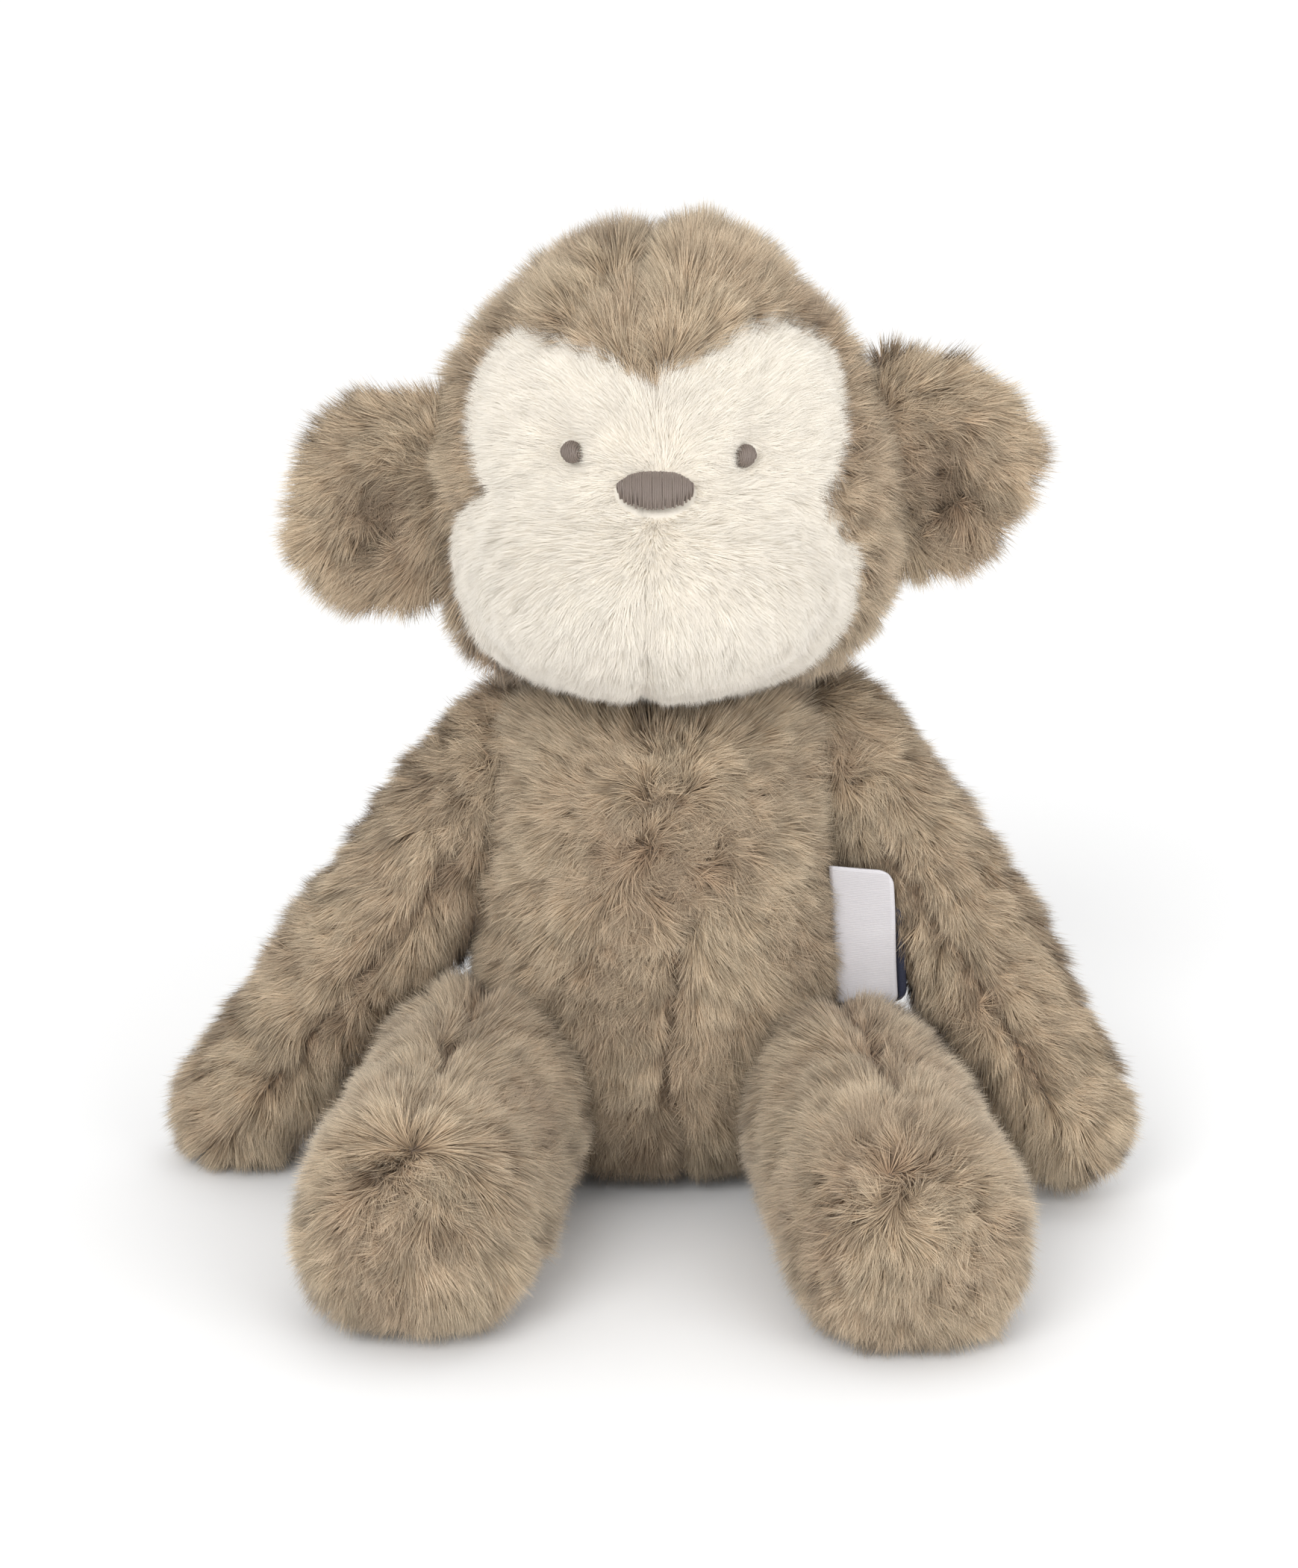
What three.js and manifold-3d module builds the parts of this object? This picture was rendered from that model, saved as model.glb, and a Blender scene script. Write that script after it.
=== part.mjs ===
// A seated plush monkey, sewn from pile-fabric panels over soft filling.
// Millimetres, +Z up, facing -Y. The origin is the middle of the flat seat on the floor.
// The toy's own left side is +X.
import * as THREE from 'three';
import { mergeVertices } from 'three/addons/utils/BufferGeometryUtils.js';
import Module from 'manifold-3d';

const wasm = await Module();
wasm.setup();

// ---------- driving dimensions ----------
const PELT = 5; // backing and pile together
const GAP = 0.3; // between sewn pieces
const FAR = 400; // larger than the toy
const FILL_GAP = 1.8; // between a pelt and its filling
const WAD_GAP = 1.1; // round a wad, which turns
const STITCH_HEIGHT = 1.4; // how proud the embroidery stands
// segments round a form: its outer face, its lining and its filling
const ROUND = { outer: 26, lining: 18, filling: 14, limb: 16, limbLining: 12, limbFilling: 10 };

const HEAD = {
  centre: [1, 2, 147], halfWidth: 53.5, halfDepth: 46, rise: 70.5, drop: 42, taper: 0.9, backSeam: 12,
};
const MUZZLE = { centre: [-1, -25, 144.5], radii: [44, 37, 28], margin: 1.6 };
const MASK = {
  tip: 194,
  // one lobe from the tip down to the waist, as smooth curves through every third point: [x, z]
  lobe: [[8, 198], [16, 203], [25, 203], [35, 203], [40, 190], [40, 180], [40, 170], [36, 163], [36, 155]],
};
const FACE_BACK = -6; // how far back the face panels reach
const EYE = { out: 19, height: 177, radius: 2.7 };
const NOSE = { height: 171, halfWidth: 8, halfHeight: 3.8 };

const NECK = { centre: [0, 0, 105], radius: 23 };

const TORSO = {
  depthRatio: 0.88, beanFill: 26, sideSeam: 3,
  // outline from the floor up: [radius, height]
  outline: [[33, 0], [40, 5], [44, 14], [45.5, 28], [44, 46], [41.5, 64], [38, 80], [34.5, 91], [29, 101]],
};

const EAR = {
  root: 51.5, radii: [18, 8, 25], reach: 66, across: 2, leftHeight: 162, rightHeight: 154, tilt: 0.1, sunk: 2,
  groove: { radius: 7.4, height: 42.5 },
};

const SHOULDER = { out: 43.5, across: 9, height: 89, wad: 8, cut: 6, fillStart: 5 };
const ARM = {
  bow: 4.5,
  // outline from the shoulder to the hand: [radius, distance]
  outline: [[9, -8], [14, 0], [13, 24], [13.8, 48], [15, 70], [15.5, 86], [13.5, 98], [8, 104.5]],
};
const HAND = { out: 96, across: -16, height: 15.5 };

const HIP = { out: 41, across: -28, height: 26, wad: 12, cut: 10, fillStart: 4 };
const LEG = {
  sole: 82,
  // outline from the hip to the sole: [radius, distance]
  outline: [[15, -13], [20, -6], [22, 3], [24.5, 20], [26, 38], [26, 71], [22, 83], [12, 89]],
};
const FOOT = { left: [52, -120, 24], right: [-54, -112, 25.5] };

// room in the torso for the arm's swing: [radius, distance from the middle]
const ARMHOLE_OUTLINE = [[15.5, 26], [15.5, 36], [21, 40], [34, 49], [34, 60]];
// room in the torso for the leg root: degrees each way, how far it runs on, extra width to splay
const LEG_OPENING = { radius: 25.5, lift: 26, drop: 42, reach: 100, splayRoom: 4 };

const LABEL = {
  root: [40.5, -15.5, 62], thick: 0.6, corner: 3.5, yaw: -0.16, lean: -0.1,
  front: { width: 10.5, height: 31 },
  back: { width: 9, height: 26 },
};

const FUR = { color: '#b2a389', roughness: 0.95, metalness: 0 };
const CREAM = { color: '#f3eee2', roughness: 0.95, metalness: 0 };
const THREAD = { color: '#7d7067', roughness: 0.6, metalness: 0 };
const FIBRE = { color: '#f4f4f2', roughness: 1, metalness: 0 };
const BEANS = { color: '#d9d4c8', roughness: 0.8, metalness: 0 };
const SATIN = { color: '#cdcbd0', roughness: 0.45, metalness: 0 };
const NAVY = { color: '#262b3c', roughness: 0.6, metalness: 0 };

// ---------- solids and meshes ----------
function toSolid(geometry) {
  const clean = geometry.index ? geometry.toNonIndexed() : geometry.clone();
  clean.deleteAttribute('normal');
  clean.deleteAttribute('uv');
  const merged = mergeVertices(clean, 1e-4);
  return new wasm.Manifold(new wasm.Mesh({
    numProp: 3,
    vertProperties: new Float32Array(merged.attributes.position.array),
    triVerts: new Uint32Array(merged.index.array),
  }));
}

function toGeometry(solid) {
  const mesh = solid.getMesh();
  const geometry = new THREE.BufferGeometry();
  geometry.setAttribute('position', new THREE.BufferAttribute(new Float32Array(mesh.vertProperties), 3));
  geometry.setIndex(new THREE.BufferAttribute(new Uint32Array(mesh.triVerts), 1));
  geometry.computeVertexNormals();
  return geometry;
}

// Adds a solid to a group as one named mesh.
function place(group, name, solid, finish) {
  const mesh = new THREE.Mesh(toGeometry(solid), new THREE.MeshStandardMaterial(finish));
  mesh.name = name;
  group.add(mesh);
  return mesh;
}

// An axis-aligned block; a side that isn't given is far away.
function block({ x = [-FAR, FAR], y = [-FAR, FAR], z = [-FAR, FAR] }) {
  const geometry = new THREE.BoxGeometry(x[1] - x[0], y[1] - y[0], z[1] - z[0]);
  geometry.translate((x[0] + x[1]) / 2, (y[0] + y[1]) / 2, (z[0] + z[1]) / 2);
  return toSolid(geometry);
}

function ball(centre, radius, segments = 14) {
  const geometry = new THREE.SphereGeometry(radius, segments, Math.round(segments / 2));
  geometry.translate(...centre);
  return toSolid(geometry);
}

function ellipsoid(centre, radii, segments) {
  const geometry = new THREE.SphereGeometry(1, segments, Math.round(segments * 0.6));
  geometry.rotateX(Math.PI / 2);
  geometry.scale(...radii);
  geometry.translate(...centre);
  return toSolid(geometry);
}

// A form turned about the Y axis from an outline of [radius, height] pairs, closed at both ends.
function turned(outline, segments) {
  const first = outline[0];
  const last = outline[outline.length - 1];
  const points = [
    new THREE.Vector2(0, first[1]),
    ...outline.map(([radius, height]) => new THREE.Vector2(radius, height)),
    new THREE.Vector2(0, last[1]),
  ];
  return new THREE.LatheGeometry(points, segments);
}

// The same outline drawn in by a thickness; an open root runs on past its end.
function drawnIn(outline, thickness, openRoot = false) {
  const start = outline[0][1];
  const end = outline[outline.length - 1][1];
  const low = openRoot ? start - thickness : start + thickness;
  return outline.map(([radius, height], i) => {
    const inside = i === 0 && openRoot ? low : THREE.MathUtils.clamp(height, low, end - thickness);
    return [Math.max(radius - thickness, 1), inside];
  });
}

// A shape in the XZ plane pushed through from the front to a depth behind it.
function frontPrism(shape, back) {
  const geometry = new THREE.ExtrudeGeometry(shape, { depth: FAR / 2, bevelEnabled: false, curveSegments: 6 });
  geometry.rotateX(Math.PI / 2);
  geometry.translate(0, back, 0);
  return toSolid(geometry);
}

function ellipseShape(x, z, halfWidth, halfHeight) {
  const shape = new THREE.Shape();
  shape.absellipse(x, z, halfWidth, halfHeight, 0, Math.PI * 2, false, 0);
  return shape;
}

// ---------- head ----------
// The skull form drawn in by a thickness: an egg, wide at the cheeks, that tapers to the crown.
function skull(inset, segments) {
  const geometry = new THREE.SphereGeometry(1, segments, Math.round(segments * 0.6));
  geometry.rotateX(Math.PI / 2);
  const spots = geometry.attributes.position;
  for (let i = 0; i < spots.count; i += 1) {
    const up = spots.getZ(i);
    const ring = Math.sqrt(Math.max(0, 1 - up * up));
    const narrow = up > 0 && ring > 0 ? ring ** (HEAD.taper - 1) : 1;
    const lift = up > 0 ? HEAD.rise : HEAD.drop;
    spots.setXYZ(
      i,
      HEAD.centre[0] + spots.getX(i) * narrow * (HEAD.halfWidth - inset),
      HEAD.centre[1] + spots.getY(i) * Math.sqrt(narrow) * (HEAD.halfDepth - inset),
      HEAD.centre[2] + up * (lift - inset),
    );
  }
  return toSolid(geometry);
}

function headForm(inset, segments = ROUND.outer) {
  const radii = MUZZLE.radii.map((radius) => radius - inset);
  return skull(inset, segments).add(ellipsoid(MUZZLE.centre, radii, segments - 4));
}

// The heart-shaped upper mask outline, grown by a margin.
function maskShape(margin) {
  const grown = MASK.lobe.map(([x, z]) => [x + margin, z + margin]);
  const left = [[0, MASK.tip + margin], ...grown];
  const right = left.map(([x, z]) => [-x, z]).reverse();
  const shape = new THREE.Shape();
  shape.moveTo(...left[0]);
  for (let i = 1; i < left.length; i += 3) {
    shape.bezierCurveTo(...left[i], ...left[i + 1], ...left[i + 2]);
  }
  shape.lineTo(...right[0]);
  for (let i = 1; i < right.length; i += 3) {
    shape.bezierCurveTo(...right[i], ...right[i + 1], ...right[i + 2]);
  }
  return shape;
}

function muzzlePrism(margin) {
  const [x, , z] = MUZZLE.centre;
  return frontPrism(ellipseShape(x, z, MUZZLE.radii[0] + margin, MUZZLE.radii[2] + margin), FACE_BACK);
}

function makeHead(group) {
  const pelt = headForm(0).subtract(headForm(PELT, ROUND.lining));
  const neckHollow = ball(NECK.centre, NECK.radius + WAD_GAP, 20);
  const muzzleZone = muzzlePrism(MUZZLE.margin);
  const roundMuzzle = muzzlePrism(MUZZLE.margin + GAP);
  const faceZone = frontPrism(maskShape(GAP), FACE_BACK).add(roundMuzzle);
  const earGrooves = ['left', 'right'].map((side) => earGroove(side));
  let coat = pelt.subtract(faceZone).subtract(neckHollow);
  for (const groove of earGrooves) {
    coat = coat.subtract(groove);
  }
  const split = HEAD.backSeam;
  place(group, 'head_pelt_left', coat.intersect(block({ x: [GAP / 2, FAR], y: [-FAR, split] })), FUR);
  place(group, 'head_pelt_right', coat.intersect(block({ x: [-FAR, -GAP / 2], y: [-FAR, split] })), FUR);
  place(group, 'head_pelt_back', coat.intersect(block({ y: [split + GAP, FAR] })), FUR);

  const mask = pelt.intersect(frontPrism(maskShape(0), FACE_BACK)).subtract(roundMuzzle);
  place(group, 'face_mask', mask, CREAM);
  const snout = pelt.intersect(muzzleZone).subtract(neckHollow);
  place(group, 'muzzle_left', snout.intersect(block({ x: [GAP / 2, FAR] })), CREAM);
  place(group, 'muzzle_right', snout.intersect(block({ x: [-FAR, -GAP / 2] })), CREAM);

  let filling = headForm(PELT + FILL_GAP, ROUND.filling).subtract(neckHollow);
  for (const groove of earGrooves) {
    filling = filling.subtract(groove);
  }
  place(group, 'head_stuffing', filling, FIBRE);

  const stitchLayer = headForm(-STITCH_HEIGHT - GAP).subtract(headForm(-GAP));
  const nose = frontPrism(ellipseShape(0, NOSE.height, NOSE.halfWidth, NOSE.halfHeight), FACE_BACK);
  place(group, 'nose_embroidery', stitchLayer.intersect(nose), THREAD);
  for (const [side, sign] of [['left', 1], ['right', -1]]) {
    const disc = frontPrism(ellipseShape(sign * EYE.out, EYE.height, EYE.radius, EYE.radius), FACE_BACK);
    place(group, `eye_${side}_embroidery`, stitchLayer.intersect(disc), THREAD);
  }
}

// ---------- ears ----------
function earHeight(side) {
  return side === 'left' ? EAR.leftHeight : EAR.rightHeight;
}

// The room in the head that an ear's root turns in.
function earGroove(side) {
  const sign = side === 'left' ? 1 : -1;
  const { radius, height } = EAR.groove;
  const geometry = new THREE.CylinderGeometry(radius, radius, height, 20);
  geometry.rotateX(Math.PI / 2);
  geometry.translate(sign * EAR.root, EAR.across, earHeight(side));
  return toSolid(geometry);
}

function makeEar(group, side) {
  const sign = side === 'left' ? 1 : -1;
  const geometry = new THREE.SphereGeometry(1, 18, 12);
  geometry.scale(...EAR.radii);
  geometry.rotateY(sign * EAR.tilt);
  geometry.translate(sign * EAR.reach, EAR.across, earHeight(side));
  const inner = sign * (EAR.root - EAR.sunk);
  const outside = block({ x: sign > 0 ? [inner, FAR] : [-FAR, inner] });
  const ear = toSolid(geometry).intersect(outside);
  const front = ear.intersect(block({ y: [-FAR, EAR.across - GAP / 2] }));
  const back = ear.intersect(block({ y: [EAR.across + GAP / 2, FAR] }));
  place(group, `ear_${side}_front_panel`, front, FUR);
  place(group, `ear_${side}_back_panel`, back, FUR);
}

// ---------- torso ----------
function torsoForm(inset, segments) {
  const outline = inset > 0 ? drawnIn(TORSO.outline, inset) : TORSO.outline;
  const geometry = turned(outline, segments);
  geometry.rotateX(Math.PI / 2);
  geometry.scale(1, TORSO.depthRatio, 1);
  return toSolid(geometry);
}

// Armhole: a cone about the sideways axis that leaves room for the arm to swing.
function armhole(sign) {
  const geometry = turned(ARMHOLE_OUTLINE, 18);
  geometry.rotateZ(-sign * Math.PI / 2);
  geometry.translate(0, SHOULDER.across, SHOULDER.height);
  return toSolid(geometry);
}

// Leg opening: the fan that the leg root sweeps as it lifts and drops, wider on the splay side.
function legOpening(sign) {
  const { radius, reach } = LEG_OPENING;
  const lift = THREE.MathUtils.degToRad(LEG_OPENING.lift);
  const drop = THREE.MathUtils.degToRad(LEG_OPENING.drop);
  const shape = new THREE.Shape();
  shape.absarc(0, 0, radius, Math.PI / 2 + lift, Math.PI * 1.5 - drop, false);
  shape.lineTo(
    -radius * Math.sin(drop) + reach * Math.cos(drop),
    -radius * Math.cos(drop) - reach * Math.sin(drop),
  );
  shape.lineTo(
    -radius * Math.sin(lift) + reach * Math.cos(lift),
    radius * Math.cos(lift) + reach * Math.sin(lift),
  );
  shape.closePath();
  const width = 2 * radius + LEG_OPENING.splayRoom;
  const geometry = new THREE.ExtrudeGeometry(shape, { depth: width, bevelEnabled: false, curveSegments: 7 });
  geometry.translate(0, 0, -width / 2);
  const forward = new THREE.Vector3(0, -1, 0);
  const up = new THREE.Vector3(0, 0, 1);
  const aside = new THREE.Vector3(-1, 0, 0);
  geometry.applyMatrix4(new THREE.Matrix4().makeBasis(forward, up, aside));
  geometry.translate(sign * (HIP.out + LEG_OPENING.splayRoom / 2), HIP.across, HIP.height);
  return toSolid(geometry);
}

function makeTorso(group) {
  const hollows = [ball(NECK.centre, NECK.radius + WAD_GAP, 20)];
  for (const sign of [1, -1]) {
    hollows.push(armhole(sign), legOpening(sign));
  }
  const clear = (solid) => hollows.reduce((left, hollow) => left.subtract(hollow), solid);
  const pelt = clear(torsoForm(0, ROUND.outer).subtract(torsoForm(PELT, ROUND.lining)));
  const seatTop = PELT - GAP;
  place(group, 'seat_panel', pelt.intersect(block({ z: [-FAR, seatTop] })), FUR);
  const sides = pelt.intersect(block({ z: [PELT, FAR] }));
  const front = [-FAR, TORSO.sideSeam - GAP / 2];
  const back = [TORSO.sideSeam + GAP / 2, FAR];
  const left = [GAP / 2, FAR];
  const right = [-FAR, -GAP / 2];
  place(group, 'belly_panel_left', sides.intersect(block({ x: left, y: front })), FUR);
  place(group, 'belly_panel_right', sides.intersect(block({ x: right, y: front })), FUR);
  place(group, 'back_panel_left', sides.intersect(block({ x: left, y: back })), FUR);
  place(group, 'back_panel_right', sides.intersect(block({ x: right, y: back })), FUR);

  const filling = clear(torsoForm(PELT + FILL_GAP, ROUND.filling));
  const beans = filling.intersect(block({ z: [-FAR, TORSO.beanFill] }));
  place(group, 'seat_bean_bag', beans, BEANS);
  place(group, 'torso_stuffing', filling.intersect(block({ z: [TORSO.beanFill + GAP, FAR] })), FIBRE);
}

// ---------- limbs ----------
// A limb's group stands at its joint: +Y runs down the limb and +Z looks the way of its seam.
function limbGroup(joint, end, seamWay) {
  const along = new THREE.Vector3().subVectors(end, joint).normalize();
  const seam = seamWay.clone().addScaledVector(along, -seamWay.dot(along)).normalize();
  const aside = new THREE.Vector3().crossVectors(along, seam);
  const group = new THREE.Group();
  group.position.copy(joint);
  group.quaternion.setFromRotationMatrix(new THREE.Matrix4().makeBasis(aside, along, seam));
  group.updateMatrixWorld(true);
  return group;
}

// A limb's form drawn in by a thickness, open at the root, with a sideways bow.
function limbForm(outline, inset, bow, segments) {
  const geometry = turned(inset > 0 ? drawnIn(outline, inset, true) : outline, segments);
  const length = outline[outline.length - 1][1];
  const spots = geometry.attributes.position;
  for (let i = 0; i < spots.count; i += 1) {
    const share = THREE.MathUtils.clamp(spots.getY(i) / length, 0, 1);
    spots.setX(i, spots.getX(i) + bow * Math.sin(Math.PI * share));
  }
  return toSolid(geometry);
}

// Everything above the floor, in a limb group's own frame.
function aboveFloor(group) {
  const geometry = new THREE.BoxGeometry(FAR * 2, FAR * 2, FAR);
  geometry.translate(0, 0, FAR / 2);
  geometry.applyMatrix4(group.matrixWorld.clone().invert());
  return toSolid(geometry);
}

// The two halves of a limb either side of its seam, as blocks in its own frame.
function limbHalves(sign) {
  const low = block({ x: [-FAR, -GAP / 2] });
  const high = block({ x: [GAP / 2, FAR] });
  return sign > 0 ? { outer: low, inner: high } : { outer: high, inner: low };
}

function makeArm(parent, side) {
  const sign = side === 'left' ? 1 : -1;
  const joint = new THREE.Vector3(sign * SHOULDER.out, SHOULDER.across, SHOULDER.height);
  const hand = new THREE.Vector3(sign * HAND.out, HAND.across, HAND.height);
  const group = limbGroup(joint, hand, new THREE.Vector3(0, -1, 0));
  parent.add(group);
  const bow = -sign * ARM.bow;
  const wadRoom = ball([0, 0, 0], SHOULDER.wad + WAD_GAP);
  const sewnEnd = block({ y: [-SHOULDER.cut, FAR] });
  const pelt = limbForm(ARM.outline, 0, bow, ROUND.limb)
    .subtract(limbForm(ARM.outline, PELT, bow, ROUND.limbLining))
    .subtract(wadRoom)
    .intersect(sewnEnd)
    .intersect(aboveFloor(group));
  const { outer, inner } = limbHalves(sign);
  place(group, `arm_${side}_outer_panel`, pelt.intersect(outer), FUR);
  place(group, `arm_${side}_inner_panel`, pelt.intersect(inner), FUR);
  const filling = limbForm(ARM.outline, PELT + FILL_GAP, bow, ROUND.limbFilling)
    .subtract(wadRoom)
    .intersect(block({ y: [SHOULDER.fillStart, FAR] }));
  place(group, `arm_${side}_stuffing`, filling, FIBRE);
  place(parent, `shoulder_${side}_wad`, ball(joint.toArray(), SHOULDER.wad), FIBRE);
}

function makeLeg(parent, side) {
  const sign = side === 'left' ? 1 : -1;
  const joint = new THREE.Vector3(sign * HIP.out, HIP.across, HIP.height);
  const foot = new THREE.Vector3(...FOOT[side]);
  const group = limbGroup(joint, foot, new THREE.Vector3(0, 0, 1));
  parent.add(group);
  const wadRoom = ball([0, 0, 0], HIP.wad + WAD_GAP);
  const sewnEnd = block({ y: [-HIP.cut, FAR] });
  const pelt = limbForm(LEG.outline, 0, 0, ROUND.limb)
    .subtract(limbForm(LEG.outline, PELT, 0, ROUND.limbLining))
    .subtract(wadRoom)
    .intersect(sewnEnd)
    .intersect(aboveFloor(group));
  const shaft = pelt.intersect(block({ y: [-FAR, LEG.sole - GAP] }));
  const { outer, inner } = limbHalves(sign);
  place(group, `leg_${side}_outer_panel`, shaft.intersect(outer), FUR);
  place(group, `leg_${side}_inner_panel`, shaft.intersect(inner), FUR);
  place(group, `foot_${side}_sole`, pelt.intersect(block({ y: [LEG.sole, FAR] })), FUR);
  const filling = limbForm(LEG.outline, PELT + FILL_GAP, 0, ROUND.limbFilling)
    .subtract(wadRoom)
    .intersect(block({ y: [HIP.fillStart, FAR] }));
  place(group, `leg_${side}_stuffing`, filling, FIBRE);
  place(parent, `hip_${side}_wad`, ball(joint.toArray(), HIP.wad), FIBRE);
}

// ---------- labels ----------
function labelShape({ width, height }) {
  const { corner } = LABEL;
  const shape = new THREE.Shape();
  shape.moveTo(0, -height / 2);
  shape.lineTo(width - corner, -height / 2);
  shape.absarc(width - corner, -height / 2 + corner, corner, -Math.PI / 2, 0, false);
  shape.lineTo(width, height / 2 - corner);
  shape.absarc(width - corner, height / 2 - corner, corner, 0, Math.PI / 2, false);
  shape.lineTo(0, height / 2);
  shape.closePath();
  return shape;
}

function makeLabels(parent) {
  const group = new THREE.Group();
  group.position.set(...LABEL.root);
  group.rotation.set(0, LABEL.lean, LABEL.yaw);
  parent.add(group);
  const leaves = [
    ['sewn_label', LABEL.front, 0, SATIN],
    ['care_label', LABEL.back, LABEL.thick + GAP, NAVY],
  ];
  for (const [name, size, behind, finish] of leaves) {
    const options = { depth: LABEL.thick, bevelEnabled: false, curveSegments: 4 };
    const geometry = new THREE.ExtrudeGeometry(labelShape(size), options);
    geometry.rotateX(Math.PI / 2);
    geometry.translate(0, LABEL.thick + behind, 0);
    place(group, name, toSolid(geometry), finish);
  }
}

// ---------- the whole toy ----------
const toy = new THREE.Group();
makeHead(toy);
makeEar(toy, 'left');
makeEar(toy, 'right');
place(toy, 'neck_wad', ball(NECK.centre, NECK.radius, 20), FIBRE);
makeTorso(toy);
for (const side of ['left', 'right']) {
  makeArm(toy, side);
  makeLeg(toy, side);
}
makeLabels(toy);

export default toy;
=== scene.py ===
"""Looks of a seated plush monkey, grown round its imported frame.

Lengths in the classes are millimetres and are turned to metres as meshes are written.
+Z is up, the toy faces -Y, and its own left side is +X.
"""

import logging
import math
from dataclasses import dataclass
from enum import Enum
from typing import Any, Sequence

import bmesh
import bpy
import numpy as np
from mathutils import Matrix, Vector
from mathutils.bvhtree import BVHTree
from mathutils.kdtree import KDTree


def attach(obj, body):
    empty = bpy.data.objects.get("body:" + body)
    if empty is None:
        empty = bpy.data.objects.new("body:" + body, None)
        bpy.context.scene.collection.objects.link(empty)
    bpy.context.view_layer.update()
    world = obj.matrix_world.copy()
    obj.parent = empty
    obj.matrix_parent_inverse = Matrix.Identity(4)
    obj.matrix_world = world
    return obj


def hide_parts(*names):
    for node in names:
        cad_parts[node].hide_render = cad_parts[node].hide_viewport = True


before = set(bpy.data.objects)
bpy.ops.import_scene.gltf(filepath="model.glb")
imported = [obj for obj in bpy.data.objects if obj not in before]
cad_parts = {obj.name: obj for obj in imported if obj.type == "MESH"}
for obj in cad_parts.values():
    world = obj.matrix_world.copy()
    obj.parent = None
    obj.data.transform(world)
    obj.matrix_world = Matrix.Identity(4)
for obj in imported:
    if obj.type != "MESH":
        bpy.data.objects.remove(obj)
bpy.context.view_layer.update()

LOG = logging.getLogger("plush")
MM = 0.001
RNG = np.random.default_rng(20)

Array = np.ndarray
Colour = tuple[float, float, float, float]
Point = tuple[float, float, float]
Spot = tuple[float, float]
Outline = tuple[Spot, ...]

# The pile's colour is read from its own map: across it, a hue and a tone; up it, root to tip.
PILE_MAP = "OFBake"
TONES = 16
HUES = 8
COLUMNS = TONES * HUES
COLUMN_FILL = 0.6


class Side(Enum):
    """The toy's own left and right, with the sign of X there."""

    LEFT = 1
    RIGHT = -1

    @property
    def word(self) -> str:
        """The side's word in piece names."""
        return self.name.lower()


@dataclass(frozen=True)
class Pair:
    """A value for the toy's left side and one for its right."""

    left: Any
    right: Any

    def on(self, side: Side) -> Any:
        """The value for one side."""
        return self.left if side is Side.LEFT else self.right


# ---------------------------------------------------------------- small maths
def unit(vectors: Array) -> Array:
    """Vectors scaled to length one."""
    return vectors / np.maximum(np.linalg.norm(vectors, axis=-1, keepdims=True), 1e-9)


def smoothstep(low: float, high: float, values: Array) -> Array:
    """0 below low, 1 above high, smooth between them."""
    t = np.clip((values - low) / (high - low), 0, 1)
    return t * t * (3 - 2 * t)


def bell(offsets: Array, width: float = 1.0) -> Array:
    """1 where there is no offset, fading smoothly to 0 past a few widths."""
    return np.exp(-((offsets / width) ** 2))


def mound(offsets: Array, width: float = 1.0) -> Array:
    """A bell round a place, from each spot's offset as a vector, one to a row."""
    return np.exp(-np.sum((offsets / width) ** 2, axis=1))


def tangent_part(vectors: Array, normals: Array) -> Array:
    """The unit part of each vector that lies in the surface."""
    along = np.sum(vectors * normals, axis=1, keepdims=True)
    return unit(vectors - normals * along)


def turned(ways: Array, normals: Array, angles: Array) -> Array:
    """Directions in a skin turned about its normals by angles in radians."""
    aside = np.cross(normals, ways)
    return ways * np.cos(angles)[:, None] + aside * np.sin(angles)[:, None]


def soft_noise(points: Array, scale: float, seed: int) -> Array:
    """Smooth noise between 0 and 1, made of a few tilted waves.

    Args:
        points: places, one to a row.
        scale: the size of its patches, in the points' units.
        seed: picks the pattern.

    Returns:
        One number for each point.
    """
    rng = np.random.default_rng(seed)
    total = np.zeros(len(points))
    waves = 14
    for _ in range(waves):
        way = unit(rng.normal(size=3)) * (2 * math.pi / scale) * rng.uniform(0.35, 1.0)
        total += np.sin(points @ way + rng.uniform(0, 2 * math.pi))
    return np.clip(0.5 + total / (2 * math.sqrt(waves)), 0, 1)


def inside_outline(points: Array, outline: Array) -> Array:
    """Whether each 2-D point is inside a closed outline."""
    inside = np.zeros(len(points), bool)
    x, z = points[:, 0], points[:, 1]
    for (ax, az), (bx, bz) in zip(outline, np.roll(outline, -1, axis=0)):
        if bz != az:
            crosses = (az > z) != (bz > z)
            inside ^= crosses & (x < (bx - ax) * (z - az) / (bz - az) + ax)
    return inside


def outline_distance(points: Array, outline: Array) -> Array:
    """How far each 2-D point is from a closed outline."""
    best = np.full(len(points), 1e9)
    for a, b in zip(outline, np.roll(outline, -1, axis=0)):
        way = b - a
        share = np.clip((points - a) @ way / max(way @ way, 1e-9), 0, 1)
        best = np.minimum(best, np.linalg.norm(points - a - share[:, None] * way, axis=1))
    return best


def bezier_outline(handles: Sequence[Sequence[float]], steps: int = 8) -> Array:
    """Points along joined cubic curves, given as a start and then triples of handles and end."""
    points = [np.array(handles[0], float)]
    for i in range(1, len(handles), 3):
        a = points[-1]
        b, c, d = (np.array(handles[i + k], float) for k in range(3))
        for t in np.linspace(0, 1, steps + 1)[1:]:
            s = 1 - t
            points.append(s**3 * a + 3 * s * s * t * b + 3 * s * t * t * c + t**3 * d)
    return np.array(points)


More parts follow.
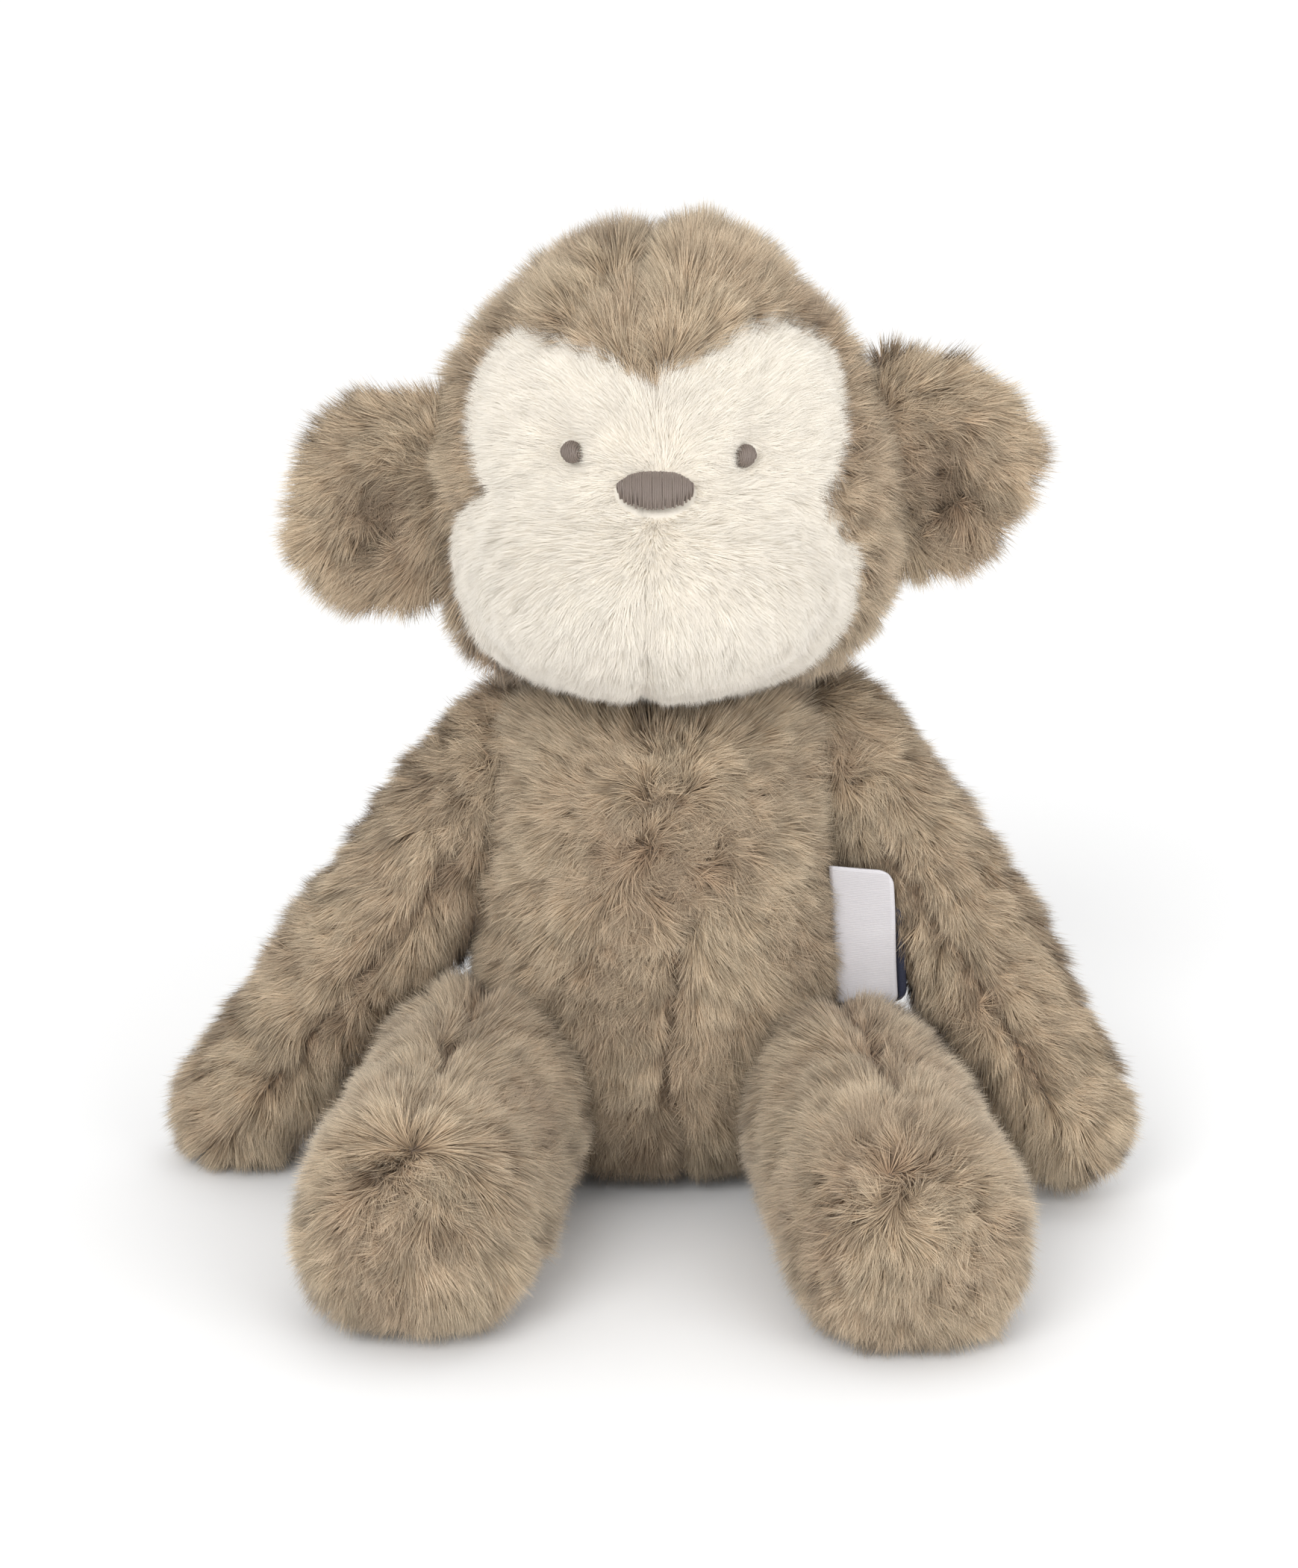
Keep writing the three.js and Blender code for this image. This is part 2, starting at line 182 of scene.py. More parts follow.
# ---------------------------------------------------------------- node groups
class Nodes:
    """Short ways to add nodes to a material's or a group's tree."""

    def __init__(self, tree: bpy.types.NodeTree) -> None:
        """Keeps the tree that the nodes go in."""
        self.tree = tree

    def feed(self, socket: bpy.types.NodeSocket, value: object) -> None:
        """Links a socket to another, or sets its value."""
        if isinstance(value, bpy.types.NodeSocket):
            self.tree.links.new(value, socket)
        else:
            socket.default_value = value

    def add(self, kind: str, **settings: object) -> bpy.types.Node:
        """A new node with its settings."""
        node = self.tree.nodes.new(kind)
        for label, value in settings.items():
            setattr(node, label, value)
        return node

    def maths(self, operation: str, a: object, b: object = 0.0) -> bpy.types.NodeSocket:
        """The output of a Math node on sockets or numbers."""
        node = self.add("ShaderNodeMath", operation=operation)
        self.feed(node.inputs[0], a)
        self.feed(node.inputs[1], b)
        return node.outputs[0]

    def mix(self, share: object, a: object, b: object) -> bpy.types.NodeSocket:
        """The output of a colour Mix node."""
        node = self.add("ShaderNodeMix", data_type="RGBA")
        self.feed(node.inputs[0], share)
        self.feed(node.inputs[6], a)
        self.feed(node.inputs[7], b)
        return node.outputs[2]

    def noise(self, scale: float, detail: float = 2.0, place: object = None) -> bpy.types.NodeSocket:
        """The factor of a Noise Texture on Object coordinates, or on a given place."""
        node = self.add("ShaderNodeTexNoise")
        node.inputs["Scale"].default_value = scale
        node.inputs["Detail"].default_value = detail
        if place is None:
            place = self.add("ShaderNodeTexCoord").outputs["Object"]
        self.tree.links.new(place, node.inputs["Vector"])
        return node.outputs[0]


def new_group(
    name: str, inputs: dict[str, tuple[str, object]], outputs: dict[str, str]
) -> tuple[bpy.types.NodeTree, bpy.types.Node, bpy.types.Node]:
    """A shader node group with named sockets.

    Args:
        name: the group's name.
        inputs: each input's kind and value.
        outputs: each output's kind.

    Returns:
        The group, its input node and its output node.
    """
    group = bpy.data.node_groups.new(name, "ShaderNodeTree")
    for label, (kind, value) in inputs.items():
        socket = group.interface.new_socket(label, in_out="INPUT", socket_type=kind)
        socket.default_value = value
    for label, kind in outputs.items():
        group.interface.new_socket(label, in_out="OUTPUT", socket_type=kind)
    return group, group.nodes.new("NodeGroupInput"), group.nodes.new("NodeGroupOutput")


COLOUR_SOCKET = "NodeSocketColor"
NUMBER_SOCKET = "NodeSocketFloat"


def pile_shade_group() -> bpy.types.NodeTree:
    """Colour of pile from its own map: hue and tone across it, root to tip up it."""
    group, source, sink = new_group(
        "pile_shade",
        {
            "Root": (COLOUR_SOCKET, (0.1, 0.1, 0.1, 1)),
            "Middle": (COLOUR_SOCKET, (0.3, 0.3, 0.3, 1)),
            "Tip": (COLOUR_SOCKET, (0.6, 0.6, 0.6, 1)),
            "Warm": (COLOUR_SOCKET, (0.5, 0.4, 0.3, 1)),
            "Contrast": (NUMBER_SOCKET, 0.5),
            "Warmth": (NUMBER_SOCKET, 0.4),
        },
        {"Color": COLOUR_SOCKET},
    )
    n = Nodes(group)
    place = n.add("ShaderNodeUVMap", uv_map=PILE_MAP)
    split = n.add("ShaderNodeSeparateXYZ")
    n.feed(split.inputs[0], place.outputs[0])
    column = n.maths("FLOOR", n.maths("MULTIPLY", split.outputs[0], COLUMNS))
    hue_index = n.maths("FLOOR", n.maths("DIVIDE", n.maths("ADD", column, 0.5), TONES))
    tone_index = n.maths("SUBTRACT", column, n.maths("MULTIPLY", hue_index, TONES))
    tone = n.maths("SUBTRACT", n.maths("DIVIDE", tone_index, TONES - 1), 0.5)
    hue = n.maths("DIVIDE", hue_index, HUES - 1)
    doubled = n.maths("MULTIPLY", split.outputs[1], 2.0)
    lower = n.maths("MINIMUM", doubled, 1.0)
    upper = n.maths("MAXIMUM", n.maths("SUBTRACT", doubled, 1.0), 0.0)
    shade = n.mix(lower, source.outputs["Root"], source.outputs["Middle"])
    shade = n.mix(upper, shade, source.outputs["Tip"])
    shade = n.mix(n.maths("MULTIPLY", hue, source.outputs["Warmth"]), shade, source.outputs["Warm"])
    gain = n.maths("ADD", n.maths("MULTIPLY", tone, source.outputs["Contrast"]), 1.0)
    lit = n.add("ShaderNodeVectorMath", operation="SCALE")
    n.feed(lit.inputs[0], shade)
    n.feed(lit.inputs[3], gain)
    n.feed(sink.inputs["Color"], lit.outputs[0])
    return group


def mottle_group() -> bpy.types.NodeTree:
    """Cloudy change between two colours, with a finer grain over it."""
    group, source, sink = new_group(
        "mottle",
        {
            "Base": (COLOUR_SOCKET, (0.5, 0.5, 0.5, 1)),
            "Other": (COLOUR_SOCKET, (0.4, 0.4, 0.4, 1)),
            "Patch Scale": (NUMBER_SOCKET, 90.0),
            "Grain Scale": (NUMBER_SOCKET, 900.0),
        },
        {"Color": COLOUR_SOCKET, "Grain": NUMBER_SOCKET},
    )
    n = Nodes(group)
    spot = n.add("ShaderNodeTexCoord").outputs["Object"]
    factors = []
    for label in ("Patch Scale", "Grain Scale"):
        node = n.add("ShaderNodeTexNoise")
        node.inputs["Detail"].default_value = 3.0
        n.feed(node.inputs["Vector"], spot)
        n.feed(node.inputs["Scale"], source.outputs[label])
        factors.append(node.outputs[0])
    both = n.maths("ADD", n.maths("MULTIPLY", factors[0], 0.6), n.maths("MULTIPLY", factors[1], 0.4))
    n.feed(sink.inputs["Color"], n.mix(both, source.outputs["Base"], source.outputs["Other"]))
    n.feed(sink.inputs["Grain"], factors[1])
    return group


# ---------------------------------------------------------------- finishes
def start_material(name: str) -> tuple[bpy.types.Material, Nodes, bpy.types.Node]:
    """A material with its shader.

    Args:
        name: the material's name.

    Returns:
        The material, its node helper and its Principled BSDF.
    """
    material = bpy.data.materials.new(name)
    material.use_nodes = True
    nodes = Nodes(material.node_tree)
    return material, nodes, material.node_tree.nodes["Principled BSDF"]


def place_group(nodes: Nodes, group: bpy.types.NodeTree, values: dict[str, object]) -> bpy.types.Node:
    """A group node in a material, with its own values."""
    node = nodes.add("ShaderNodeGroup", node_tree=group)
    for label, value in values.items():
        nodes.feed(node.inputs[label], value)
    return node


@dataclass(frozen=True)
class PileFinish:
    """Colours of a pile from its root to its tip, and how much its strands differ."""

    name: str
    root: Colour
    middle: Colour
    tip: Colour
    warm: Colour
    contrast: float = 0.6
    warmth: float = 0.45
    roughness: float = 0.85
    sheen: float = 0.2

    def material(self, groups: dict[str, bpy.types.NodeTree]) -> bpy.types.Material:
        """The pile's material."""
        material, nodes, shader = start_material(self.name)
        shade = place_group(
            nodes,
            groups["pile_shade"],
            {
                "Root": self.root,
                "Middle": self.middle,
                "Tip": self.tip,
                "Warm": self.warm,
                "Contrast": self.contrast,
                "Warmth": self.warmth,
            },
        )
        nodes.feed(shader.inputs["Base Color"], shade.outputs["Color"])
        shader.inputs["Roughness"].default_value = self.roughness
        shader.inputs["Specular IOR Level"].default_value = 0.1
        shader.inputs["Sheen Weight"].default_value = self.sheen
        shader.inputs["Sheen Roughness"].default_value = 0.5
        return material


@dataclass(frozen=True)
class ClothFinish:
    """A plain fabric or fibre: two mixed colours and a fine raised grain."""

    name: str
    base: Colour
    other: Colour
    patch_scale: float = 90.0
    grain_scale: float = 900.0
    roughness: float = 0.85
    relief: float = 0.3
    sheen: float = 0.1

    def material(self, groups: dict[str, bpy.types.NodeTree]) -> bpy.types.Material:
        """The fabric's material."""
        material, nodes, shader = start_material(self.name)
        mottle = place_group(
            nodes,
            groups["mottle"],
            {
                "Base": self.base,
                "Other": self.other,
                "Patch Scale": self.patch_scale,
                "Grain Scale": self.grain_scale,
            },
        )
        nodes.feed(shader.inputs["Base Color"], mottle.outputs["Color"])
        bump = nodes.add("ShaderNodeBump")
        bump.inputs["Strength"].default_value = self.relief
        bump.inputs["Distance"].default_value = 0.3 * MM
        nodes.feed(bump.inputs["Height"], mottle.outputs["Grain"])
        nodes.feed(shader.inputs["Normal"], bump.outputs[0])
        shader.inputs["Roughness"].default_value = self.roughness
        shader.inputs["Sheen Weight"].default_value = self.sheen
        return material


@dataclass(frozen=True)
class SatinFinish:
    """Woven satin tape: fine cross ribs, read from the piece's own map in millimetres."""

    name: str
    base: Colour
    other: Colour
    rib: float = 0.42
    warp: float = 0.16
    roughness: float = 0.42

    def material(self, groups: dict[str, bpy.types.NodeTree]) -> bpy.types.Material:
        """The tape's material."""
        material, nodes, shader = start_material(self.name)
        place = nodes.add("ShaderNodeUVMap", uv_map="tape")
        split = nodes.add("ShaderNodeSeparateXYZ")
        nodes.feed(split.inputs[0], place.outputs[0])
        waves = []
        for socket, pitch in ((split.outputs[1], self.rib), (split.outputs[0], self.warp)):
            turn = nodes.maths("MULTIPLY", socket, 2 * math.pi / pitch)
            waves.append(nodes.maths("ADD", nodes.maths("MULTIPLY", nodes.maths("SINE", turn), 0.5), 0.5))
        weave = nodes.maths(
            "ADD", nodes.maths("MULTIPLY", waves[0], 0.7), nodes.maths("MULTIPLY", waves[1], 0.3)
        )
        mottle = place_group(
            nodes,
            groups["mottle"],
            {"Base": self.base, "Other": self.other, "Patch Scale": 120.0, "Grain Scale": 1500.0},
        )
        shaded = nodes.mix(nodes.maths("MULTIPLY", weave, 0.6), mottle.outputs["Color"], self.other)
        nodes.feed(shader.inputs["Base Color"], shaded)
        bump = nodes.add("ShaderNodeBump")
        bump.inputs["Strength"].default_value = 0.35
        bump.inputs["Distance"].default_value = 0.1 * MM
        nodes.feed(bump.inputs["Height"], weave)
        nodes.feed(shader.inputs["Normal"], bump.outputs[0])
        shader.inputs["Roughness"].default_value = self.roughness
        shader.inputs["Sheen Weight"].default_value = 0.2
        return material


class Wardrobe:
    """Every finish on the toy, made once."""

    FINISHES = (
        PileFinish(
            "taupe_pile",
            # The dark root is partly the pile's own colour and partly painted shade deep in the pile.
            root=(0.25, 0.175, 0.11, 1),
            middle=(0.465, 0.355, 0.238, 1),
            tip=(0.655, 0.55, 0.405, 1),
            warm=(0.31, 0.185, 0.12, 1),
            contrast=0.85,
            warmth=0.42,
        ),
        PileFinish(
            "cream_pile",
            root=(0.96, 0.89, 0.77, 1),
            middle=(0.96, 0.90, 0.80, 1),
            tip=(0.965, 0.915, 0.825, 1),
            warm=(0.93, 0.85, 0.72, 1),
            contrast=0.13,
            warmth=0.15,
            sheen=0.15,
        ),
        # The taupe backing is dark like the pile's roots, partly as painted shade showing between the
        # strands.
        ClothFinish("taupe_backing", (0.19, 0.14, 0.10, 1), (0.14, 0.10, 0.07, 1)),
        ClothFinish("cream_backing", (0.9, 0.85, 0.76, 1), (0.84, 0.78, 0.68, 1)),
        ClothFinish("stuffing_fibre", (0.9, 0.9, 0.88, 1), (0.8, 0.8, 0.78, 1), 60.0, 400.0, relief=0.8),
        ClothFinish("bean_pouch", (0.7, 0.66, 0.58, 1), (0.55, 0.5, 0.42, 1), 200.0, 500.0, relief=0.9),
        ClothFinish("stitch_thread", (0.215, 0.17, 0.145, 1), (0.15, 0.118, 0.1, 1), 400.0, 3000.0, 0.5),
        SatinFinish("grey_satin", (0.84, 0.82, 0.83, 1), (0.6, 0.58, 0.61, 1)),
        SatinFinish("navy_tape", (0.02, 0.024, 0.05, 1), (0.035, 0.04, 0.075, 1), roughness=0.6),
    )

    def __init__(self) -> None:
        """Builds the shared node groups and each finish's material."""
        groups = {"pile_shade": pile_shade_group(), "mottle": mottle_group()}
        self.materials = {finish.name: finish.material(groups) for finish in self.FINISHES}

    def dress(self, piece: bpy.types.Object, name: str) -> None:
        """Gives a piece its one material."""
        piece.data.materials.clear()
        piece.data.materials.append(self.materials[name])


# ---------------------------------------------------------------- meshes
def new_piece(name: str, mesh: bpy.types.Mesh) -> bpy.types.Object:
    """An object for a mesh, linked to the scene."""
    piece = bpy.data.objects.new(name, mesh)
    bpy.context.scene.collection.objects.link(piece)
    return piece


def piece_from(name: str, form: bmesh.types.BMesh, smooth: bool = True) -> bpy.types.Object:
    """Writes a bmesh in millimetres to a new piece in metres and frees it.

    Args:
        name: the piece's name.
        form: the shape; faces are turned outwards.
        smooth: whether it is shaded smooth.

    Returns:
        The new object.
    """
    bmesh.ops.recalc_face_normals(form, faces=form.faces)
    bmesh.ops.scale(form, vec=(MM, MM, MM), verts=form.verts)
    for face in form.faces:
        face.smooth = smooth
    mesh = bpy.data.meshes.new(name)
    form.to_mesh(mesh)
    form.free()
    return new_piece(name, mesh)


def settle(piece: bpy.types.Object) -> None:
    """Applies a piece's modifiers to its mesh."""
    graph = bpy.context.evaluated_depsgraph_get()
    graph.update()
    made = bpy.data.meshes.new_from_object(piece.evaluated_get(graph))
    old = piece.data
    piece.modifiers.clear()
    piece.data = made
    bpy.data.meshes.remove(old)


def spots_of(piece: bpy.types.Object) -> Array:
    """A piece's vertices in millimetres."""
    spots = np.zeros(len(piece.data.vertices) * 3, np.float32)
    piece.data.vertices.foreach_get("co", spots)
    return spots.reshape(-1, 3).astype(float) / MM


def move_spots(piece: bpy.types.Object, spots: Array) -> None:
    """Puts a piece's vertices at places in millimetres."""
    piece.data.vertices.foreach_set("co", (spots * MM).astype(np.float32).ravel())
    piece.data.update()


def normals_of(piece: bpy.types.Object) -> Array:
    """A piece's vertex normals."""
    normals = np.zeros(len(piece.data.vertices) * 3, np.float32)
    piece.data.vertices.foreach_get("normal", normals)
    return normals.reshape(-1, 3).astype(float)


def remesh(piece: bpy.types.Object, voxel: float, smooth_rounds: int) -> None:
    """Rebuilds a piece as one even closed skin.

    Args:
        piece: the object.
        voxel: the size of its faces in millimetres.
        smooth_rounds: how often its corners are relaxed.
    """
    rebuild = piece.modifiers.new("rebuild", "REMESH")
    rebuild.mode = "VOXEL"
    rebuild.voxel_size = voxel * MM
    relax = piece.modifiers.new("relax", "SMOOTH")
    relax.factor = 0.5
    relax.iterations = smooth_rounds
    settle(piece)
    for polygon in piece.data.polygons:
        polygon.use_smooth = True


def swell(piece: bpy.types.Object, hold: Array, pressure: float, cap: float) -> None:
    """Fills a sewn skin: its cloth swells from inside while its seams hold.

    Args:
        piece: a closed skin.
        hold: 1 at vertices on a seam, 0 away from them.
        pressure: the filling's pressure.
        cap: the furthest that a vertex may move, in millimetres.
    """
    rest = spots_of(piece)
    seam = piece.vertex_groups.new(name="seam")
    for i, weight in enumerate(hold):
        seam.add([i], float(weight), "REPLACE")
    cloth = piece.modifiers.new("filling", "CLOTH")
    cloth.settings.quality = 5
    cloth.settings.use_pressure = True
    cloth.settings.uniform_pressure_force = pressure
    cloth.settings.effector_weights.gravity = 0
    cloth.settings.vertex_group_mass = seam.name
    cloth.settings.pin_stiffness = 5
    cloth.settings.tension_stiffness = 12
    cloth.settings.compression_stiffness = 12
    cloth.collision_settings.use_collision = False
    cloth.point_cache.frame_start = 1
    cloth.point_cache.frame_end = 20
    scene = bpy.context.scene
    for step in range(1, 21):
        scene.frame_set(step)
    graph = bpy.context.evaluated_depsgraph_get()
    moved = spots_of(piece.evaluated_get(graph))
    piece.modifiers.remove(cloth)
    piece.vertex_groups.clear()
    scene.frame_set(1)
    way = moved - rest
    far = np.linalg.norm(way, axis=1, keepdims=True)
    move_spots(piece, rest + way * np.minimum(1, cap / np.maximum(far, 1e-9)))


def subdivide(piece: bpy.types.Object, levels: int = 1) -> None:
    """Rounds a piece with a subdivision surface and applies it."""
    finer = piece.modifiers.new("finer", "SUBSURF")
    finer.levels = levels
    finer.render_levels = levels
    settle(piece)


def spun(outline: Sequence[Sequence[float]], steps: int = 40) -> bmesh.types.BMesh:
    """A closed form turned about Z from an outline of [radius, height] pairs."""
    form = bmesh.new()
    ends = [(0.0, outline[0][1]), *outline, (0.0, outline[-1][1])]
    verts = [form.verts.new((radius, 0, height)) for radius, height in ends]
    edges = [form.edges.new(pair) for pair in zip(verts, verts[1:])]
    bmesh.ops.spin(
        form,
        geom=verts + edges,
        cent=(0, 0, 0),
        axis=(0, 0, 1),
        angle=2 * math.pi,
        steps=steps,
        use_merge=True,
    )
    bmesh.ops.remove_doubles(form, verts=form.verts, dist=0.01)
    return form


# ---------------------------------------------------------------- pile
@dataclass(frozen=True)
class Pile:
    """How one patch of pile grows."""

    length: float = 9.2
    density: float = 13.0
    width: float = 0.21
    lean: float = 0.68
    bend: float = 0.5
    tuft: float = 4.2
    gather: float = 0.14
    wisp: float = 1.0
    wisp_gather: float = 0.3
    stray: float = 0.22
    tousle: float = 0.2
    streak: float = 0.36
    droop: float = 0.1


class Skin:
    """A finished skin that pile is grown on: its triangles, with smooth normals."""

    def __init__(self, piece: bpy.types.Object) -> None:
        """Reads the skin's mesh."""
        piece.data.calc_loop_triangles()
        corners = np.zeros(len(piece.data.loop_triangles) * 3, np.int32)
        piece.data.loop_triangles.foreach_get("vertices", corners)
        self.corners = corners.reshape(-1, 3)
        self.spots = spots_of(piece)
        self.normals = normals_of(piece)
        a, b, c = (self.spots[self.corners[:, k]] for k in range(3))
        self.areas = np.linalg.norm(np.cross(b - a, c - a), axis=1) / 2
        self.tree = BVHTree.FromPolygons(self.spots.tolist(), self.corners.tolist())

    def scatter(self, count: int) -> tuple[Array, Array]:
        """Even random places on the skin, with their normals."""
        picked = RNG.choice(len(self.areas), size=count, p=self.areas / self.areas.sum())
        r, s = np.sqrt(RNG.random(count)), RNG.random(count)
        shares = np.stack([1 - r, r * (1 - s), r * s], axis=1)[:, :, None]
        corners = self.corners[picked]
        spots = (self.spots[corners] * shares).sum(axis=1)
        return spots, unit((self.normals[corners] * shares).sum(axis=1))

    def front(self, x: float, z: float) -> tuple[Vector, Vector]:
        """The skin's foremost place at x and z, and its normal there."""
        spot, normal, _, _ = self.tree.ray_cast(Vector((x, -300, z)), Vector((0, 1, 0)))
        return spot, normal


def nearest(spots: Array, centres: Array) -> Array:
    """The index of the centre that is nearest to each spot."""
    tree = KDTree(len(centres))
    for i, centre in enumerate(centres):
        tree.insert(centre, i)
    tree.balance()
    return np.fromiter((tree.find(spot)[1] for spot in spots), int, len(spots))


@dataclass
class Coat:
    """Strands about to be grown on one panel, one to a row."""

    roots: Array
    normals: Array
    comb: Array
    length: Array
    lean: Array
    ruffle: Array
    tone: Array
    hue: Array


@dataclass(frozen=True)
class Groomer:
    """Shapes strands into tufts and wisps and writes them as one mesh."""

    pile: Pile
    tuft_lean: float = 0.6
    strand_lean: float = 0.1
    ruffle_lean: float = 0.3
    tuft_lengths: Spot = (0.88, 1.12)
    strand_lengths: Spot = (0.72, 1.08)
    strand_widths: Spot = (0.75, 1.25)
    ruffle_shrink: float = 0.15
    ruffle_turn: float = 1.1
    tip_scatter: float = 0.28
    root_lift: float = 0.75
    tip_lift: float = 0.25
    skin_shading: float = 0.85

    def strands(self, coat: Coat) -> tuple[Array, Array, Array]:
        """Shapes a coat's strands.

        Args:
            coat: the strands.

        Returns:
            Each strand's root, its tip, and how much lighter its wisp is.
        """
        pile = self.pile
        count = len(coat.roots)
        centres = []
        for size in (pile.tuft, pile.wisp):
            picked = coat.roots[RNG.random(count) < 1 / (pile.density * size**2)]
            centres.append(picked if len(picked) else coat.roots[:1])
        tufts, wisps = centres
        tuft, wisp = nearest(coat.roots, tufts), nearest(coat.roots, wisps)

        turn = RNG.normal(0, pile.tousle, len(tufts))[tuft] + RNG.normal(0, pile.stray, count)
        wisp_turn = pile.tousle * 0.4 + self.ruffle_turn * coat.ruffle
        turn += RNG.normal(0, 1, len(wisps))[wisp] * wisp_turn
        comb = turned(coat.comb, coat.normals, turn)
        lean = coat.lean + RNG.normal(0, self.tuft_lean * pile.tousle, len(tufts))[tuft]
        lean += RNG.normal(0, self.strand_lean, count) - self.ruffle_lean * coat.ruffle
        length = coat.length * RNG.uniform(*self.tuft_lengths, len(tufts))[tuft]
        length *= (1 - self.ruffle_shrink * coat.ruffle) * RNG.uniform(*self.strand_lengths, count)

        angle = lean + pile.bend / 2
        way = coat.normals * np.cos(angle)[:, None] + comb * np.sin(angle)[:, None]
        way[:, 2] -= pile.droop
        tips = coat.roots + unit(way) * length[:, None]
        tips += (tufts[tuft] - coat.roots) * pile.gather
        tips += (wisps[wisp] - coat.roots) * (pile.wisp_gather * (1 - pile.gather))
        tips += RNG.normal(0, self.tip_scatter, (count, 3))
        tips[:, 2] = np.maximum(tips[:, 2], self.tip_lift)
        roots = coat.roots.copy()
        roots[:, 2] = np.maximum(roots[:, 2], self.root_lift)
        return roots, tips, RNG.normal(0, pile.streak, len(wisps))[wisp]

    def mesh(self, name: str, coat: Coat) -> bpy.types.Mesh:
        """The strands as one mesh of thin pointed blades with the pile's own map."""
        roots, tips, streaks = self.strands(coat)
        count = len(roots)
        along = unit(tips - roots)
        aside = unit(np.cross(along, coat.normals))
        facing = np.cross(aside, along)
        roll = RNG.uniform(-1.0, 1.0, count)[:, None]
        aside = aside * np.cos(roll) + facing * np.sin(roll)
        inward = np.sum(np.cross(aside, along) * coat.normals, axis=1) < 0
        aside[inward] *= -1
        half = aside * (self.pile.width * RNG.uniform(*self.strand_widths, count) / 2)[:, None]
        spots = np.stack([roots - half, roots + half, tips], axis=1)
        corners = spots.shape[1]

        column = np.clip((coat.hue * HUES).astype(int), 0, HUES - 1) * TONES
        column = column + np.clip(((coat.tone + streaks) * TONES).astype(int), 0, TONES - 1)
        across = np.array([-0.5, 0.5, 0.0]) * COLUMN_FILL
        u = (column[:, None] + 0.5 + across) / COLUMNS
        v = np.broadcast_to(np.array([0.01, 0.01, 0.99]), u.shape)
        chart = np.stack([u, v], axis=2)

        mesh = bpy.data.meshes.new(name)
        mesh.vertices.add(count * corners)
        mesh.vertices.foreach_set("co", (spots * MM).astype(np.float32).ravel())
        mesh.loops.add(count * corners)
        mesh.loops.foreach_set("vertex_index", np.arange(count * corners, dtype=np.int32))
        mesh.polygons.add(count)
        mesh.polygons.foreach_set("loop_start", np.arange(count, dtype=np.int32) * corners)
        mesh.update(calc_edges=True)
        mesh.shade_smooth()
        outward = unit(np.cross(aside, along))
        outward *= np.sign(np.sum(outward * coat.normals, axis=1, keepdims=True))
        shaded = unit(coat.normals * self.skin_shading + outward * (1 - self.skin_shading))
        lit = mesh.attributes.new("custom_normal", "FLOAT_VECTOR", "POINT")
        lit.data.foreach_set("vector", np.repeat(shaded, corners, axis=0).astype(np.float32).ravel())
        layer = mesh.uv_layers.new(name=PILE_MAP)
        layer.data.foreach_set("uv", chart.astype(np.float32).ravel())
        return mesh


# ---------------------------------------------------------------- stuffed bodies
@dataclass(frozen=True)
class Panel:
    """One cut panel: its names, the CAD nodes it stands for, and its pile."""

    name: str
    nodes: tuple[str, ...]
    pile: Pile
    cream: bool = False


@dataclass(frozen=True)
class Tones:
    """How much pile varies in tone and hue, and over how many millimetres."""

    middle: float = 0.55
    patch: float = 0.2
    patch_size: float = 26.0
    clump: float = 0.25
    clump_size: float = 5.0
    strand: float = 0.15
    ruffle: float = 0.2
    seam: float = 0.35
    hue: float = 0.4
    hue_size: float = 13.0
    ruffle_hue: float = 0.6
    seam_hue: float = 0.4
    strand_hue: float = 0.16


